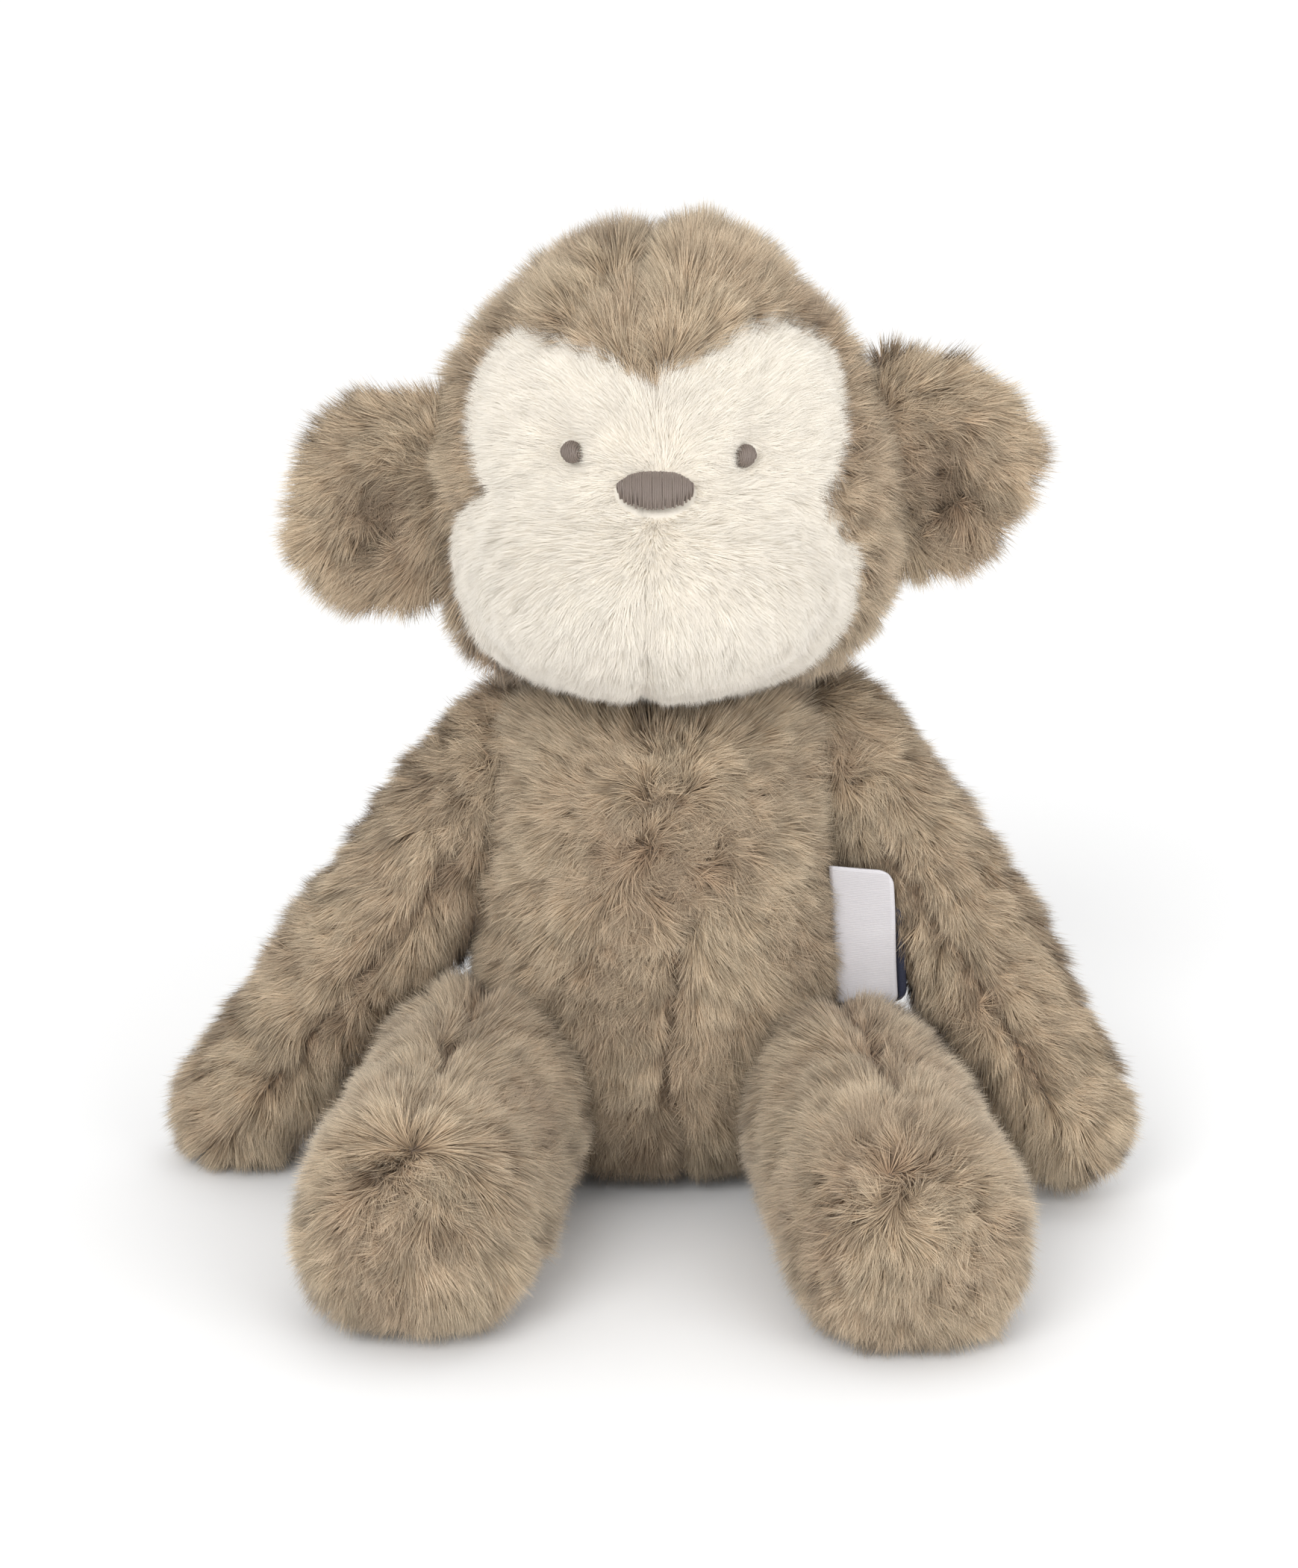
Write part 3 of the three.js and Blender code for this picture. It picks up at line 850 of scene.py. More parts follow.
@dataclass
class StuffedBody:
    """A sewn and stuffed body: a skin cut into panels, each with backing and pile."""

    wardrobe: Wardrobe
    body: str = ""
    voxel: float = 4.0
    pressure: float = 4.0
    cap: float = 3.0
    seam_width: float = 2.6
    seam_reach: float = 4.0
    seam_shade: float = 0.9
    wander: float = 0.9
    wander_size: float = 11.0
    ruffle_turn: float = 4.0
    ruffle_size: float = 4.5
    tones: Tones = Tones()
    fill: float = 0.7
    skin: Skin | None = None

    def panels(self) -> tuple[Panel, ...]:
        """The panels in the order of panel_at."""
        raise NotImplementedError

    def form(self) -> bmesh.types.BMesh:
        """The closed form before it is filled, in millimetres."""
        raise NotImplementedError

    def panel_at(self, spots: Array) -> Array:
        """The index of the panel at each place."""
        raise NotImplementedError

    def bare(self, spots: Array) -> Array:
        """Whether each place has no pile."""
        return np.zeros(len(spots), bool)

    def seam_distance(self, spots: Array) -> Array:
        """How far each place is from the nearest seam."""
        raise NotImplementedError

    def comb(self, spots: Array, normals: Array) -> Array:
        """The way the pile lies at each place."""
        raise NotImplementedError

    def trim(self, spots: Array, normals: Array) -> Array:
        """The share of its full length that pile has at each place."""
        return 0.5 + 0.5 * smoothstep(0, self.seam_reach, self.seam_distance(spots))

    def upright(self, spots: Array, normals: Array) -> Array:
        """How much less than its usual lean the pile has at each place, in radians."""
        return np.zeros(len(spots))

    def shade(self, spots: Array) -> Array:
        """How much darker the pile is painted at each place, as painted shade."""
        return np.zeros(len(spots))

    def ruffle(self, spots: Array) -> Array:
        """How tousled the pile is at each place, from 0 to 1."""
        return 0.45 * smoothstep(0.55, 0.8, soft_noise(spots, 30.0, 11))

    def shape(self, piece: bpy.types.Object) -> None:
        """Folds and dents pressed into the filled skin."""

    def make_skin(self) -> bpy.types.Object:
        """Builds, fills and creases the closed skin."""
        piece = piece_from(f"{self.body}_skin", self.form())
        remesh(piece, self.voxel, 4)
        hold = 1 - smoothstep(self.voxel * 0.4, self.voxel * 1.1, self.seam_distance(spots_of(piece)))
        swell(piece, hold, self.pressure, self.cap)
        subdivide(piece)
        spots, normals = spots_of(piece), normals_of(piece)
        groove = bell(self.seam_distance(spots), self.seam_width)
        spots -= normals * groove[:, None]
        spots[:, 2] = np.maximum(spots[:, 2], 1.2)
        move_spots(piece, spots)
        self.shape(piece)
        return piece

    def backing(self, skin: bpy.types.Object, panel: Panel, index: int, of_face: Array) -> None:
        """Cuts one panel's backing out of the skin."""
        form = bmesh.new()
        form.from_mesh(skin.data)
        form.faces.ensure_lookup_table()
        spare = [face for face in form.faces if of_face[face.index] != index]
        bmesh.ops.delete(form, geom=spare, context="FACES")
        mesh = bpy.data.meshes.new(f"{panel.name}_backing")
        form.to_mesh(mesh)
        form.free()
        piece = new_piece(f"{panel.name}_backing", mesh)
        wall = piece.modifiers.new("wall", "SOLIDIFY")
        wall.thickness = 0.8 * MM
        wall.offset = -1
        settle(piece)
        self.wardrobe.dress(piece, "cream_backing" if panel.cream else "taupe_backing")
        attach(piece, self.body)
        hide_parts(*panel.nodes)

    def pile(self, panel: Panel, spots: Array, normals: Array) -> None:
        """Grows one panel's pile from its roots."""
        count = len(spots)
        if not count:
            return
        tones = self.tones
        patches = soft_noise(spots, tones.patch_size, 5) - 0.5
        clumps = soft_noise(spots, tones.clump_size, 6) - 0.5
        ruffle = self.ruffle(spots)
        by_seam = (1 - self.trim(spots, normals)) * 2 * self.seam_shade
        tone = tones.middle + tones.patch * patches + tones.clump * clumps
        tone += RNG.normal(0, tones.strand, count)
        # self.shade(spots) darkens the tone as painted shade.
        tone -= tones.ruffle * ruffle + tones.seam * by_seam + self.shade(spots)
        hue = tones.hue * soft_noise(spots, tones.hue_size, 7) + tones.ruffle_hue * ruffle
        hue += tones.seam_hue * by_seam + RNG.normal(0, tones.strand_hue, count)
        strayed = (soft_noise(spots, self.wander_size, 15) - 0.5) * self.wander
        strayed += (soft_noise(spots, self.ruffle_size, 16) - 0.5) * self.ruffle_turn * ruffle
        coat = Coat(
            roots=spots,
            normals=normals,
            comb=turned(self.comb(spots, normals), normals, strayed),
            length=panel.pile.length * self.trim(spots, normals),
            lean=panel.pile.lean - self.upright(spots, normals),
            ruffle=ruffle,
            tone=tone,
            hue=hue,
        )
        piece = new_piece(f"{panel.name}_pile", Groomer(panel.pile).mesh(f"{panel.name}_pile", coat))
        self.wardrobe.dress(piece, "cream_pile" if panel.cream else "taupe_pile")
        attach(piece, self.body)
        LOG.info("%s: %d strands", piece.name, count)

    def build(self) -> None:
        """Builds the body's backing and pile pieces."""
        skin = self.make_skin()
        self.skin = Skin(skin)
        centres = np.zeros(len(skin.data.polygons) * 3, np.float32)
        skin.data.polygons.foreach_get("center", centres)
        of_face = self.panel_at(centres.reshape(-1, 3).astype(float) / MM)
        thinning = 1.0
        panels = self.panels()
        densest = max(panel.pile.density for panel in panels)
        spots, normals = self.skin.scatter(int(self.skin.areas.sum() * densest * thinning))
        of_spot = np.where(self.bare(spots), -1, self.panel_at(spots))
        lot = RNG.random(len(spots))
        for index, panel in enumerate(panels):
            self.backing(skin, panel, index, of_face)
            kept = (of_spot == index) & (lot < panel.pile.density / densest)
            self.pile(panel, spots[kept], normals[kept])
        bpy.data.objects.remove(skin)


BODY_PILE = Pile()
BACK_PILE = Pile(density=9.0, width=0.27)


@dataclass(frozen=True)
class Frame:
    """A limb's own frame: where it starts, and its sideways, lengthwise and seam ways."""

    start: Array
    axes: Array

    @classmethod
    def between(cls, start: Sequence[float], end: Sequence[float], seam: Sequence[float]) -> "Frame":
        """The frame of a limb from start to end whose seam looks the given way."""
        begin = np.array(start, float)
        along = unit(np.array(end, float) - begin)
        seam_way = np.array(seam, float)
        seam_way = unit(seam_way - along * (seam_way @ along))
        return cls(begin, np.stack([np.cross(along, seam_way), along, seam_way]))

    def to_local(self, spots: Array) -> Array:
        """Places in the limb's frame."""
        return (spots - self.start) @ self.axes.T

    def to_world(self, spots: Array) -> Array:
        """Places in the row frame."""
        return spots @ self.axes + self.start


@dataclass
class Head(StuffedBody):
    """The head: coat panels, heart-shaped mask and a two-part muzzle."""

    body: str = "head"
    seam_shade: float = 0.35
    wander: float = 0.6
    centre: Point = (1.0, 2.0, 147.0)
    half_width: float = 55.5
    half_depth: float = 46.0
    rise: float = 74.3
    drop: float = 43.0
    inset: float = 6.5
    taper: float = 0.96
    # How much wider it is at a level: the level, its spread, then the right and left shares.
    slopes: tuple[tuple[float, ...], ...] = (
        (0.85, 0.15, -0.05, -0.12),
        (0.55, 0.2, 0.085, -0.01),
        (-0.68, 0.22, 0.13, 0.05),
    )
    back_seam: float = 12.0
    face_back: float = -6.0
    neck: Point = (0.0, 0.0, 105.0)
    neck_radius: float = 13.0
    muzzle_centre: Point = (-2.4, -25.0, 143.0)
    muzzle_radii: Point = (43.0, 38.5, 29.0)
    muzzle_square: float = 2.35
    muzzle_trim: float = 0.85
    snout_seam: float = -3.4
    snout_fold_ends: tuple[float, ...] = (117.0, 126.0, 146.0, 156.0)
    snout_fold_deep: float = 0.9
    snout_fold_wide: float = 3.0
    brow: Point = (-1.5, -60.0, 190.0)
    bridge: Spot = (-1.4, 168.0)
    mask_tip: float = 187.0
    mask_middle: float = -1.0
    mask_left: Spot = (0.97, 1.005)
    mask_right: Spot = (-0.98, 0.992)
    mask_lobe: Outline = (
        (8, 191), (16, 196.5), (24, 196.5), (34, 196.5), (39.5, 186),
        (39.5, 178), (39.5, 169), (34, 163), (34, 155),
    )
    eye_spots: Pair = Pair((17.6, 173.2), (-19.0, 174.1))
    eye_bare: float = 3.0
    eye_dent: float = 1.4
    eye_dent_wide: float = 5.0
    nose_spot: Spot = (-1.4, 166.4)
    nose_half: Spot = (8.7, 4.1)
    crown_dart: Spot = (-1.7, 213.0)
    dart_deep: float = 4.2
    dart_wide: float = 4.0
    crown_fold_way: Spot = (-20.0, -19.0)
    crown_fold_deep: float = 2.6
    crown_fold_wide: float = 1.8

    def __post_init__(self) -> None:
        """Works out the mask's outline."""
        half = bezier_outline([(0, self.mask_tip), *self.mask_lobe])
        sides = [half * self.mask_left, half[::-1] * self.mask_right]
        self.mask = np.vstack(sides) + (self.mask_middle, 0)

    def panels(self) -> tuple[Panel, ...]:
        """Coat left, right and back, mask, muzzle left and right."""
        coat = Pile(length=10.0)
        behind = Pile(length=10.0, density=BACK_PILE.density, width=BACK_PILE.width)
        face = Pile(
            length=6.0,
            density=25.0,
            width=0.15,
            lean=0.8,
            bend=0.45,
            tuft=3.0,
            gather=0.06,
            wisp=1.2,
            wisp_gather=0.15,
            stray=0.16,
            tousle=0.12,
        )
        return (
            Panel("head_left", ("head_pelt_left",), coat),
            Panel("head_right", ("head_pelt_right",), coat),
            Panel("head_back", ("head_pelt_back", "head_stuffing"), behind),
            Panel("face_upper", ("face_mask",), face, cream=True),
            Panel("snout_left", ("muzzle_left",), face, cream=True),
            Panel("snout_right", ("muzzle_right",), face, cream=True),
        )

    def form(self) -> bmesh.types.BMesh:
        """An egg that tapers to the crown, with the muzzle's round front."""
        form = bmesh.new()
        skull = bmesh.ops.create_uvsphere(form, u_segments=48, v_segments=32, radius=1)["verts"]
        for vert in skull:
            up = vert.co.z
            ring = math.sqrt(max(0.0, 1 - up * up))
            narrow = ring ** (self.taper - 1) if up > 0 and ring > 0 else 1.0
            for level, spread, right, left in self.slopes:
                share = left if vert.co.x > 0 else right
                narrow *= 1 + share * math.exp(-(((up - level) / spread) ** 2))
            lift = (self.rise if up > 0 else self.drop) - self.inset
            vert.co = Vector(self.centre) + Vector(
                (
                    vert.co.x * narrow * (self.half_width - self.inset),
                    vert.co.y * math.sqrt(narrow) * (self.half_depth - self.inset),
                    up * lift,
                )
            )
        muzzle = bmesh.ops.create_uvsphere(form, u_segments=48, v_segments=32, radius=1)["verts"]
        bmesh.ops.scale(form, vec=[radius - self.inset for radius in self.muzzle_radii], verts=muzzle)
        bmesh.ops.translate(form, vec=Vector(self.muzzle_centre), verts=muzzle)
        return form

    def muzzle_share(self, spots: Array) -> Array:
        """How far out in the muzzle's outline each place is, 1 on its edge."""
        x = (spots[:, 0] - self.muzzle_centre[0]) / self.muzzle_radii[0]
        z = (spots[:, 2] - self.muzzle_centre[2]) / self.muzzle_radii[2]
        power = self.muzzle_square
        return (np.abs(x) ** power + np.abs(z) ** power) ** (1 / power)

    def panel_at(self, spots: Array) -> Array:
        """The panel at each place."""
        at = np.where(spots[:, 0] > 0, 0, 1)
        at[spots[:, 1] > self.back_seam] = 2
        front = spots[:, 1] < self.face_back
        at[front & inside_outline(spots[:, [0, 2]], self.mask)] = 3
        muzzle = front & (self.muzzle_share(spots) < 1)
        at[muzzle] = np.where(spots[muzzle, 0] > self.snout_seam, 4, 5)
        return at

    def bare(self, spots: Array) -> Array:
        """Whether no pile grows at each place: in the neck, and under the stitching."""
        none = np.linalg.norm(spots - self.neck, axis=1) < self.neck_radius
        front = spots[:, 1] < self.face_back
        for x, z in (self.eye_spots.left, self.eye_spots.right):
            none |= front & (np.hypot(spots[:, 0] - x, spots[:, 2] - z) < self.eye_bare)
        off_nose = (spots[:, [0, 2]] - self.nose_spot) / self.nose_half
        return none | (front & (np.linalg.norm(off_nose, axis=1) < 1))

    def seam_distance(self, spots: Array) -> Array:
        """Distance from the mask's edge, the muzzle's edge and the middle and back seams."""
        front = spots[:, 1] < self.face_back
        share = self.muzzle_share(spots)
        mask = outline_distance(spots[:, [0, 2]], self.mask)
        mask[~front | (share < 1)] = 1e3
        muzzle = np.abs(share - 1) * self.muzzle_radii[2]
        muzzle[~front] = 1e3
        back = np.abs(spots[:, 1] - self.back_seam)
        middle = np.abs(spots[:, 0] - np.where(front, self.snout_seam, 0.0))
        off_seam = (spots[:, 1] > self.back_seam) | (spots[:, 2] < self.mask_tip)
        off_seam &= ~(front & (share < 1) & (spots[:, 2] < self.nose_spot[1]))
        middle[off_seam] = 1e3
        middle += 6 * front * (share < 1) * (1 - self.snout_fold(spots))
        return np.minimum.reduce([mask, muzzle, back, middle])

    def snout_fold(self, spots: Array) -> Array:
        """The part of the muzzle's height where its seam shows, 1 in the middle of it."""
        chin, low, high, top = self.snout_fold_ends
        return smoothstep(chin, low, spots[:, 2]) * (1 - smoothstep(high, top, spots[:, 2]))

    def comb(self, spots: Array, normals: Array) -> Array:
        """Away from the brow on the coat and from the bridge of the nose on the face."""
        at = self.panel_at(spots)
        away = unit(spots - self.brow) + np.array([0, 0.25, -0.25])
        on_face = at >= 3
        away[on_face] = 0
        away[np.ix_(on_face, [0, 2])] = unit(spots[on_face][:, [0, 2]] - self.bridge)
        off_seam = spots[:, 0] - self.snout_seam
        parting = 0.08 * np.sign(off_seam) * np.exp(-np.abs(off_seam) / 4.0) * self.snout_fold(spots)
        away[at > 3, 0] += parting[at > 3]
        return tangent_part(away, normals)

    def trim(self, spots: Array, normals: Array) -> Array:
        """Shorter by seams, and shortest round the eyes and nose."""
        share = super().trim(spots, normals)
        share *= 1 - 0.6 * self.crown_fold(spots)
        front = spots[:, 1] < self.face_back
        at = self.panel_at(spots)
        share[front & (at == 3)] = 1.0
        share[at > 3] = np.maximum(share[at > 3], self.muzzle_trim)
        for x, z in (self.eye_spots.left, self.eye_spots.right, self.nose_spot):
            wide = 2.0 if (x, z) == self.nose_spot else 1.0
            near = np.hypot((spots[:, 0] - x) / wide, spots[:, 2] - z)
            share = np.where(front, share * (0.35 + 0.65 * smoothstep(2.6, 8.0, near)), share)
        return share

    def ruffle(self, spots: Array) -> Array:
        """The face is brushed smooth."""
        return super().ruffle(spots) * (self.panel_at(spots) < 3)

    def shade(self, spots: Array) -> Array:
        """Painted shade: a little darker round the eyes and under the brow's point."""
        total = np.zeros(len(spots))
        flat = spots[:, [0, 2]]
        for x, z in (self.eye_spots.left, self.eye_spots.right):
            total += 0.9 * mound(flat - (x, z + 1.5), 5.5)
        under_brow = (self.brow[0], self.brow[2] - 7)
        total += 0.6 * mound((flat - under_brow) / (11.0, 6.0))
        return total * (self.panel_at(spots) == 3)

    def upright(self, spots: Array, normals: Array) -> Array:
        """Pile stands up more on the crown."""
        return 0.2 * smoothstep(190, 210, spots[:, 2])

    def crown_fold(self, spots: Array) -> Array:
        """The fold that runs down from the crown's dart, 1 along its bottom."""
        way = unit(np.array(self.crown_fold_way))
        from_top = spots[:, [0, 2]] - self.crown_dart
        along = from_top @ way
        across = from_top @ np.array([-way[1], way[0]])
        ends = smoothstep(-4, 3, along) * (1 - smoothstep(18, 28, along))
        return bell(across, self.crown_fold_wide) * ends * (spots[:, 1] < 4)

    def shape(self, piece: bpy.types.Object) -> None:
        """The dart and fold in the crown, the muzzle's fold, and a dent for each eye."""
        spots, normals = spots_of(piece), normals_of(piece)
        ahead = 1 - smoothstep(5, 20, spots[:, 1])
        dart = bell(spots[:, 0] - self.crown_dart[0], self.dart_wide)
        dart *= smoothstep(196, 208, spots[:, 2])
        dent = self.dart_deep * dart * ahead + self.crown_fold_deep * self.crown_fold(spots)
        fold = bell(spots[:, 0] - self.snout_seam, self.snout_fold_wide) * self.snout_fold(spots)
        face = self.snout_fold_deep * fold
        for eye in (self.eye_spots.left, self.eye_spots.right):
            face += self.eye_dent * mound(spots[:, [0, 2]] - eye, self.eye_dent_wide)
        dent += face * (spots[:, 1] < self.face_back)
        move_spots(piece, spots - normals * dent[:, None])


@dataclass
class Torso(StuffedBody):
    """The seated body: two belly and two back panels on a flat seat."""

    body: str = "torso"
    depth_ratio: float = 0.88
    outline: Outline = (
        (24, 2.2), (32, 4.5), (37, 10), (39.8, 18), (41.2, 29), (40.5, 46), (38.5, 64),
        (36, 80), (34, 91), (32.5, 100), (29, 107.5), (15, 113),
    )
    side_seam: float = 3.0
    seat_top: float = 6.0
    neck_hole: float = 111.5
    whorl: Point = (-1.5, -34.0, 83.0)
    belly_seam: float = 2.5
    seam_wave: float = 1.3
    shoulders: tuple[Point, Point] = ((43.5, 9.0, 89.0), (-43.5, 9.0, 89.0))
    hips: tuple[Point, Point] = ((41.0, -28.0, 26.0), (-41.0, -28.0, 26.0))
    armhole: float = 13.5
    under_arm: float = 11.0
    leg_seam: float = 21.0
    under_leg: float = 17.0

    def panels(self) -> tuple[Panel, ...]:
        """Belly left and right, back left and right, seat."""
        seat = Pile(length=4.0, density=4.0, width=0.4, lean=1.1, bend=0.3)
        return (
            Panel("belly_left", ("belly_panel_left",), BODY_PILE),
            Panel("belly_right", ("belly_panel_right",), BODY_PILE),
            Panel("back_left", ("back_panel_left", "torso_stuffing"), BACK_PILE),
            Panel("back_right", ("back_panel_right",), BACK_PILE),
            Panel("seat", ("seat_panel",), seat),
        )

    def form(self) -> bmesh.types.BMesh:
        """A turned pear, a little flatter front to back."""
        form = spun(self.outline)
        bmesh.ops.scale(form, vec=(1, self.depth_ratio, 1), verts=form.verts)
        return form

    def off_middle(self, spots: Array) -> Array:
        """How far each place is to the left of the wavy middle seam."""
        wave = self.belly_seam + self.seam_wave * np.sin(spots[:, 2] / 8.0)
        return spots[:, 0] - np.where(spots[:, 1] < 0, wave, 0.0)

    def panel_at(self, spots: Array) -> Array:
        """The panel at each place."""
        at = np.where(self.off_middle(spots) > 0, 0, 1) + np.where(spots[:, 1] > self.side_seam, 2, 0)
        at[spots[:, 2] < self.seat_top] = 4
        return at

    def bare(self, spots: Array) -> Array:
        """Whether a limb's root or the head covers each place."""
        none = spots[:, 2] > self.neck_hole
        for centres, radius in ((self.shoulders, self.under_arm), (self.hips, self.under_leg)):
            for centre in centres:
                none |= np.linalg.norm(spots - centre, axis=1) < radius
        return none

    def seam_distance(self, spots: Array) -> Array:
        """Distance from the middle, side, seat, armhole and leg seams."""
        middle = np.abs(self.off_middle(spots))
        side = np.abs(spots[:, 1] - self.side_seam)
        seat = np.abs(spots[:, 2] - self.seat_top)
        rings = [
            np.abs(np.linalg.norm(spots - centre, axis=1) - radius)
            for centres, radius in ((self.shoulders, self.armhole), (self.hips, self.leg_seam))
            for centre in centres
        ]
        return np.minimum.reduce([middle, side, seat, *rings])

    def trim(self, spots: Array, normals: Array) -> Array:
        """Parted along the middle seam on the belly, full on the chest."""
        share = super().trim(spots, normals)
        front = spots[:, 1] < 0
        parted = 0.3 + 0.7 * smoothstep(0.4, 3.2, np.abs(self.off_middle(spots)))
        chest = smoothstep(62, 72, spots[:, 2])
        share = share * (0.75 + 0.25 * smoothstep(4, 20, spots[:, 2]))
        blended = np.minimum(share, parted) * (1 - chest) + np.maximum(share, 0.9) * chest
        return np.where(front, blended, share)

    def ruffle(self, spots: Array) -> Array:
        """Most tousled on the chest."""
        chest = mound((spots - self.whorl) / (22.0, 24.0, 13.0))
        chest = chest * (0.25 + 0.7 * soft_noise(spots, 8.0, 12))
        return np.maximum(super().ruffle(spots), chest)

    def shade(self, spots: Array) -> Array:
        """Painted shade: darker low down, where the body meets the ground."""
        return 0.8 * (1 - smoothstep(3, 30, spots[:, 2]))

    def upright(self, spots: Array, normals: Array) -> Array:
        """Pile stands up round the neck."""
        return 0.6 * smoothstep(96, 107, spots[:, 2])

    def comb(self, spots: Array, normals: Array) -> Array:
        """Out from the whorl on the chest, and down the belly."""
        away = spots - self.whorl
        fall = 0.35 + 0.9 * (1 - smoothstep(66, 84, spots[:, 2]))
        way = tangent_part(unit(away) + np.array([0, 0, -1.0]) * fall[:, None], normals)
        return turned(way, normals, mound(away, 17.0) * (soft_noise(spots, 7.0, 19) - 0.5) * 6.0)


@dataclass
class Limb(StuffedBody):
    """A stuffed limb in two lengthwise panels."""

    side: Side = Side.LEFT
    voxel: float = 3.5
    cap: float = 1.8
    outline: Outline = ()
    bow: float = 0.0
    length: float = 100.0
    stretch: float = 1.0

    def __post_init__(self) -> None:
        """Sets the limb out on its side."""
        self.limb_frame = self.lay_out()

    def lay_out(self) -> Frame:
        """The limb's own frame."""
        raise NotImplementedError

    def curve(self, along: Array) -> Array:
        """How far sideways the limb bows at each distance along it."""
        share = np.clip(along / self.length, 0, 1)
        return -self.side.value * self.bow * np.sin(math.pi * share)

    def form(self) -> bmesh.types.BMesh:
        """The turned limb, bowed and laid in its place."""
        form = spun(self.outline, steps=28)
        for vert in form.verts:
            x, y, z = vert.co
            corner = self.squareness(x, y)
            aside = float(self.curve(np.array(z)))
            local = np.array([x * corner + aside, z * self.stretch, y * corner])
            vert.co = Vector(self.limb_frame.to_world(local))
        return form

    def squareness(self, x: float, y: float) -> float:
        """How far out a corner is pushed in the limb's cross section."""
        return 1.0

    def straight(self, spots: Array) -> Array:
        """Places in the limb's frame with the bow taken out."""
        local = self.limb_frame.to_local(spots)
        local[:, 0] -= self.curve(local[:, 1])
        return local

    def panel_at(self, spots: Array) -> Array:
        """0 on the outer panel and 1 on the inner one."""
        return np.where(self.straight(spots)[:, 0] * self.side.value < 0, 0, 1)

    def seam_distance(self, spots: Array) -> Array:
        """Distance from the two lengthwise seams."""
        return np.abs(self.straight(spots)[:, 0])

    def comb(self, spots: Array, normals: Array) -> Array:
        """Down the limb, and a little away from its seams."""
        local = self.straight(spots)
        aside = np.sign(local[:, 0])[:, None] * self.limb_frame.axes[0] * 0.35
        return tangent_part(self.limb_frame.axes[1] + aside + np.array([0, 0, -0.25]), normals)


@dataclass
class Arm(Limb):
    """An arm that hangs out to its hand."""

    outline: Outline = (
        (4, -22), (10.5, -20), (13.6, -12), (14.6, 2), (15.2, 24), (15.2, 48), (13.4, 70), (12.8, 89),
        (11, 98.5), (5, 103.5),
    )
    length: float = 104.5
    shoulders: Pair = Pair((43.0, 8.0, 88.6), (-39.5, 8.0, 86.0))
    hands: Pair = Pair((95.5, -34.0, 12.5), (-97.5, -8.0, 14.0))
    bows: Pair = Pair(1.8, -1.5)
    stretches: Pair = Pair(1.0, 1.025)
    sewn_end: float = -21.0
    seam_ends: Spot = (14.0, 82.0)
    under_label: Point = (46.0, -16.0, 59.0)
    label_half: Point = (12.0, 16.0, 19.0)

    def lay_out(self) -> Frame:
        """From the shoulder to the hand, with its seam to the front."""
        self.body = f"arm_{self.side.word}"
        self.bow = self.bows.on(self.side)
        self.stretch = self.stretches.on(self.side)
        return Frame.between(self.shoulders.on(self.side), self.hands.on(self.side), (0, -1, 0))

    def panels(self) -> tuple[Panel, ...]:
        """Outer and inner panels."""
        name = self.body
        return (
            Panel(f"{name}_outer", (f"{name}_outer_panel", f"{name}_stuffing"), BODY_PILE),
            Panel(f"{name}_inner", (f"{name}_inner_panel",), BODY_PILE),
        )

    def bare(self, spots: Array) -> Array:
        """The sewn end has no pile."""
        return self.limb_frame.to_local(spots)[:, 1] < self.sewn_end

    def seam_distance(self, spots: Array) -> Array:
        """The seam is lost in the pile past the wrist and on the shoulder."""
        along = self.limb_frame.to_local(spots)[:, 1]
        start, end = self.seam_ends
        return super().seam_distance(spots) + np.maximum(0, along - end) + np.maximum(0, start - along)

    def trim(self, spots: Array, normals: Array) -> Array:
        """Parted along the seam, and pressed flat behind the label."""
        off = (spots - self.under_label) / self.label_half
        parted = 0.35 + 0.65 * smoothstep(0.3, 3.5, self.seam_distance(spots))
        return parted * (1 - 0.6 * (np.sum(off**4, axis=1) < 1))


LEG_SHAFT: Outline = (
    (21.2, 20), (21.3, 38), (21.9, 58), (22, 72), (20, 81.5), (15.5, 87.5), (6, 91),
)


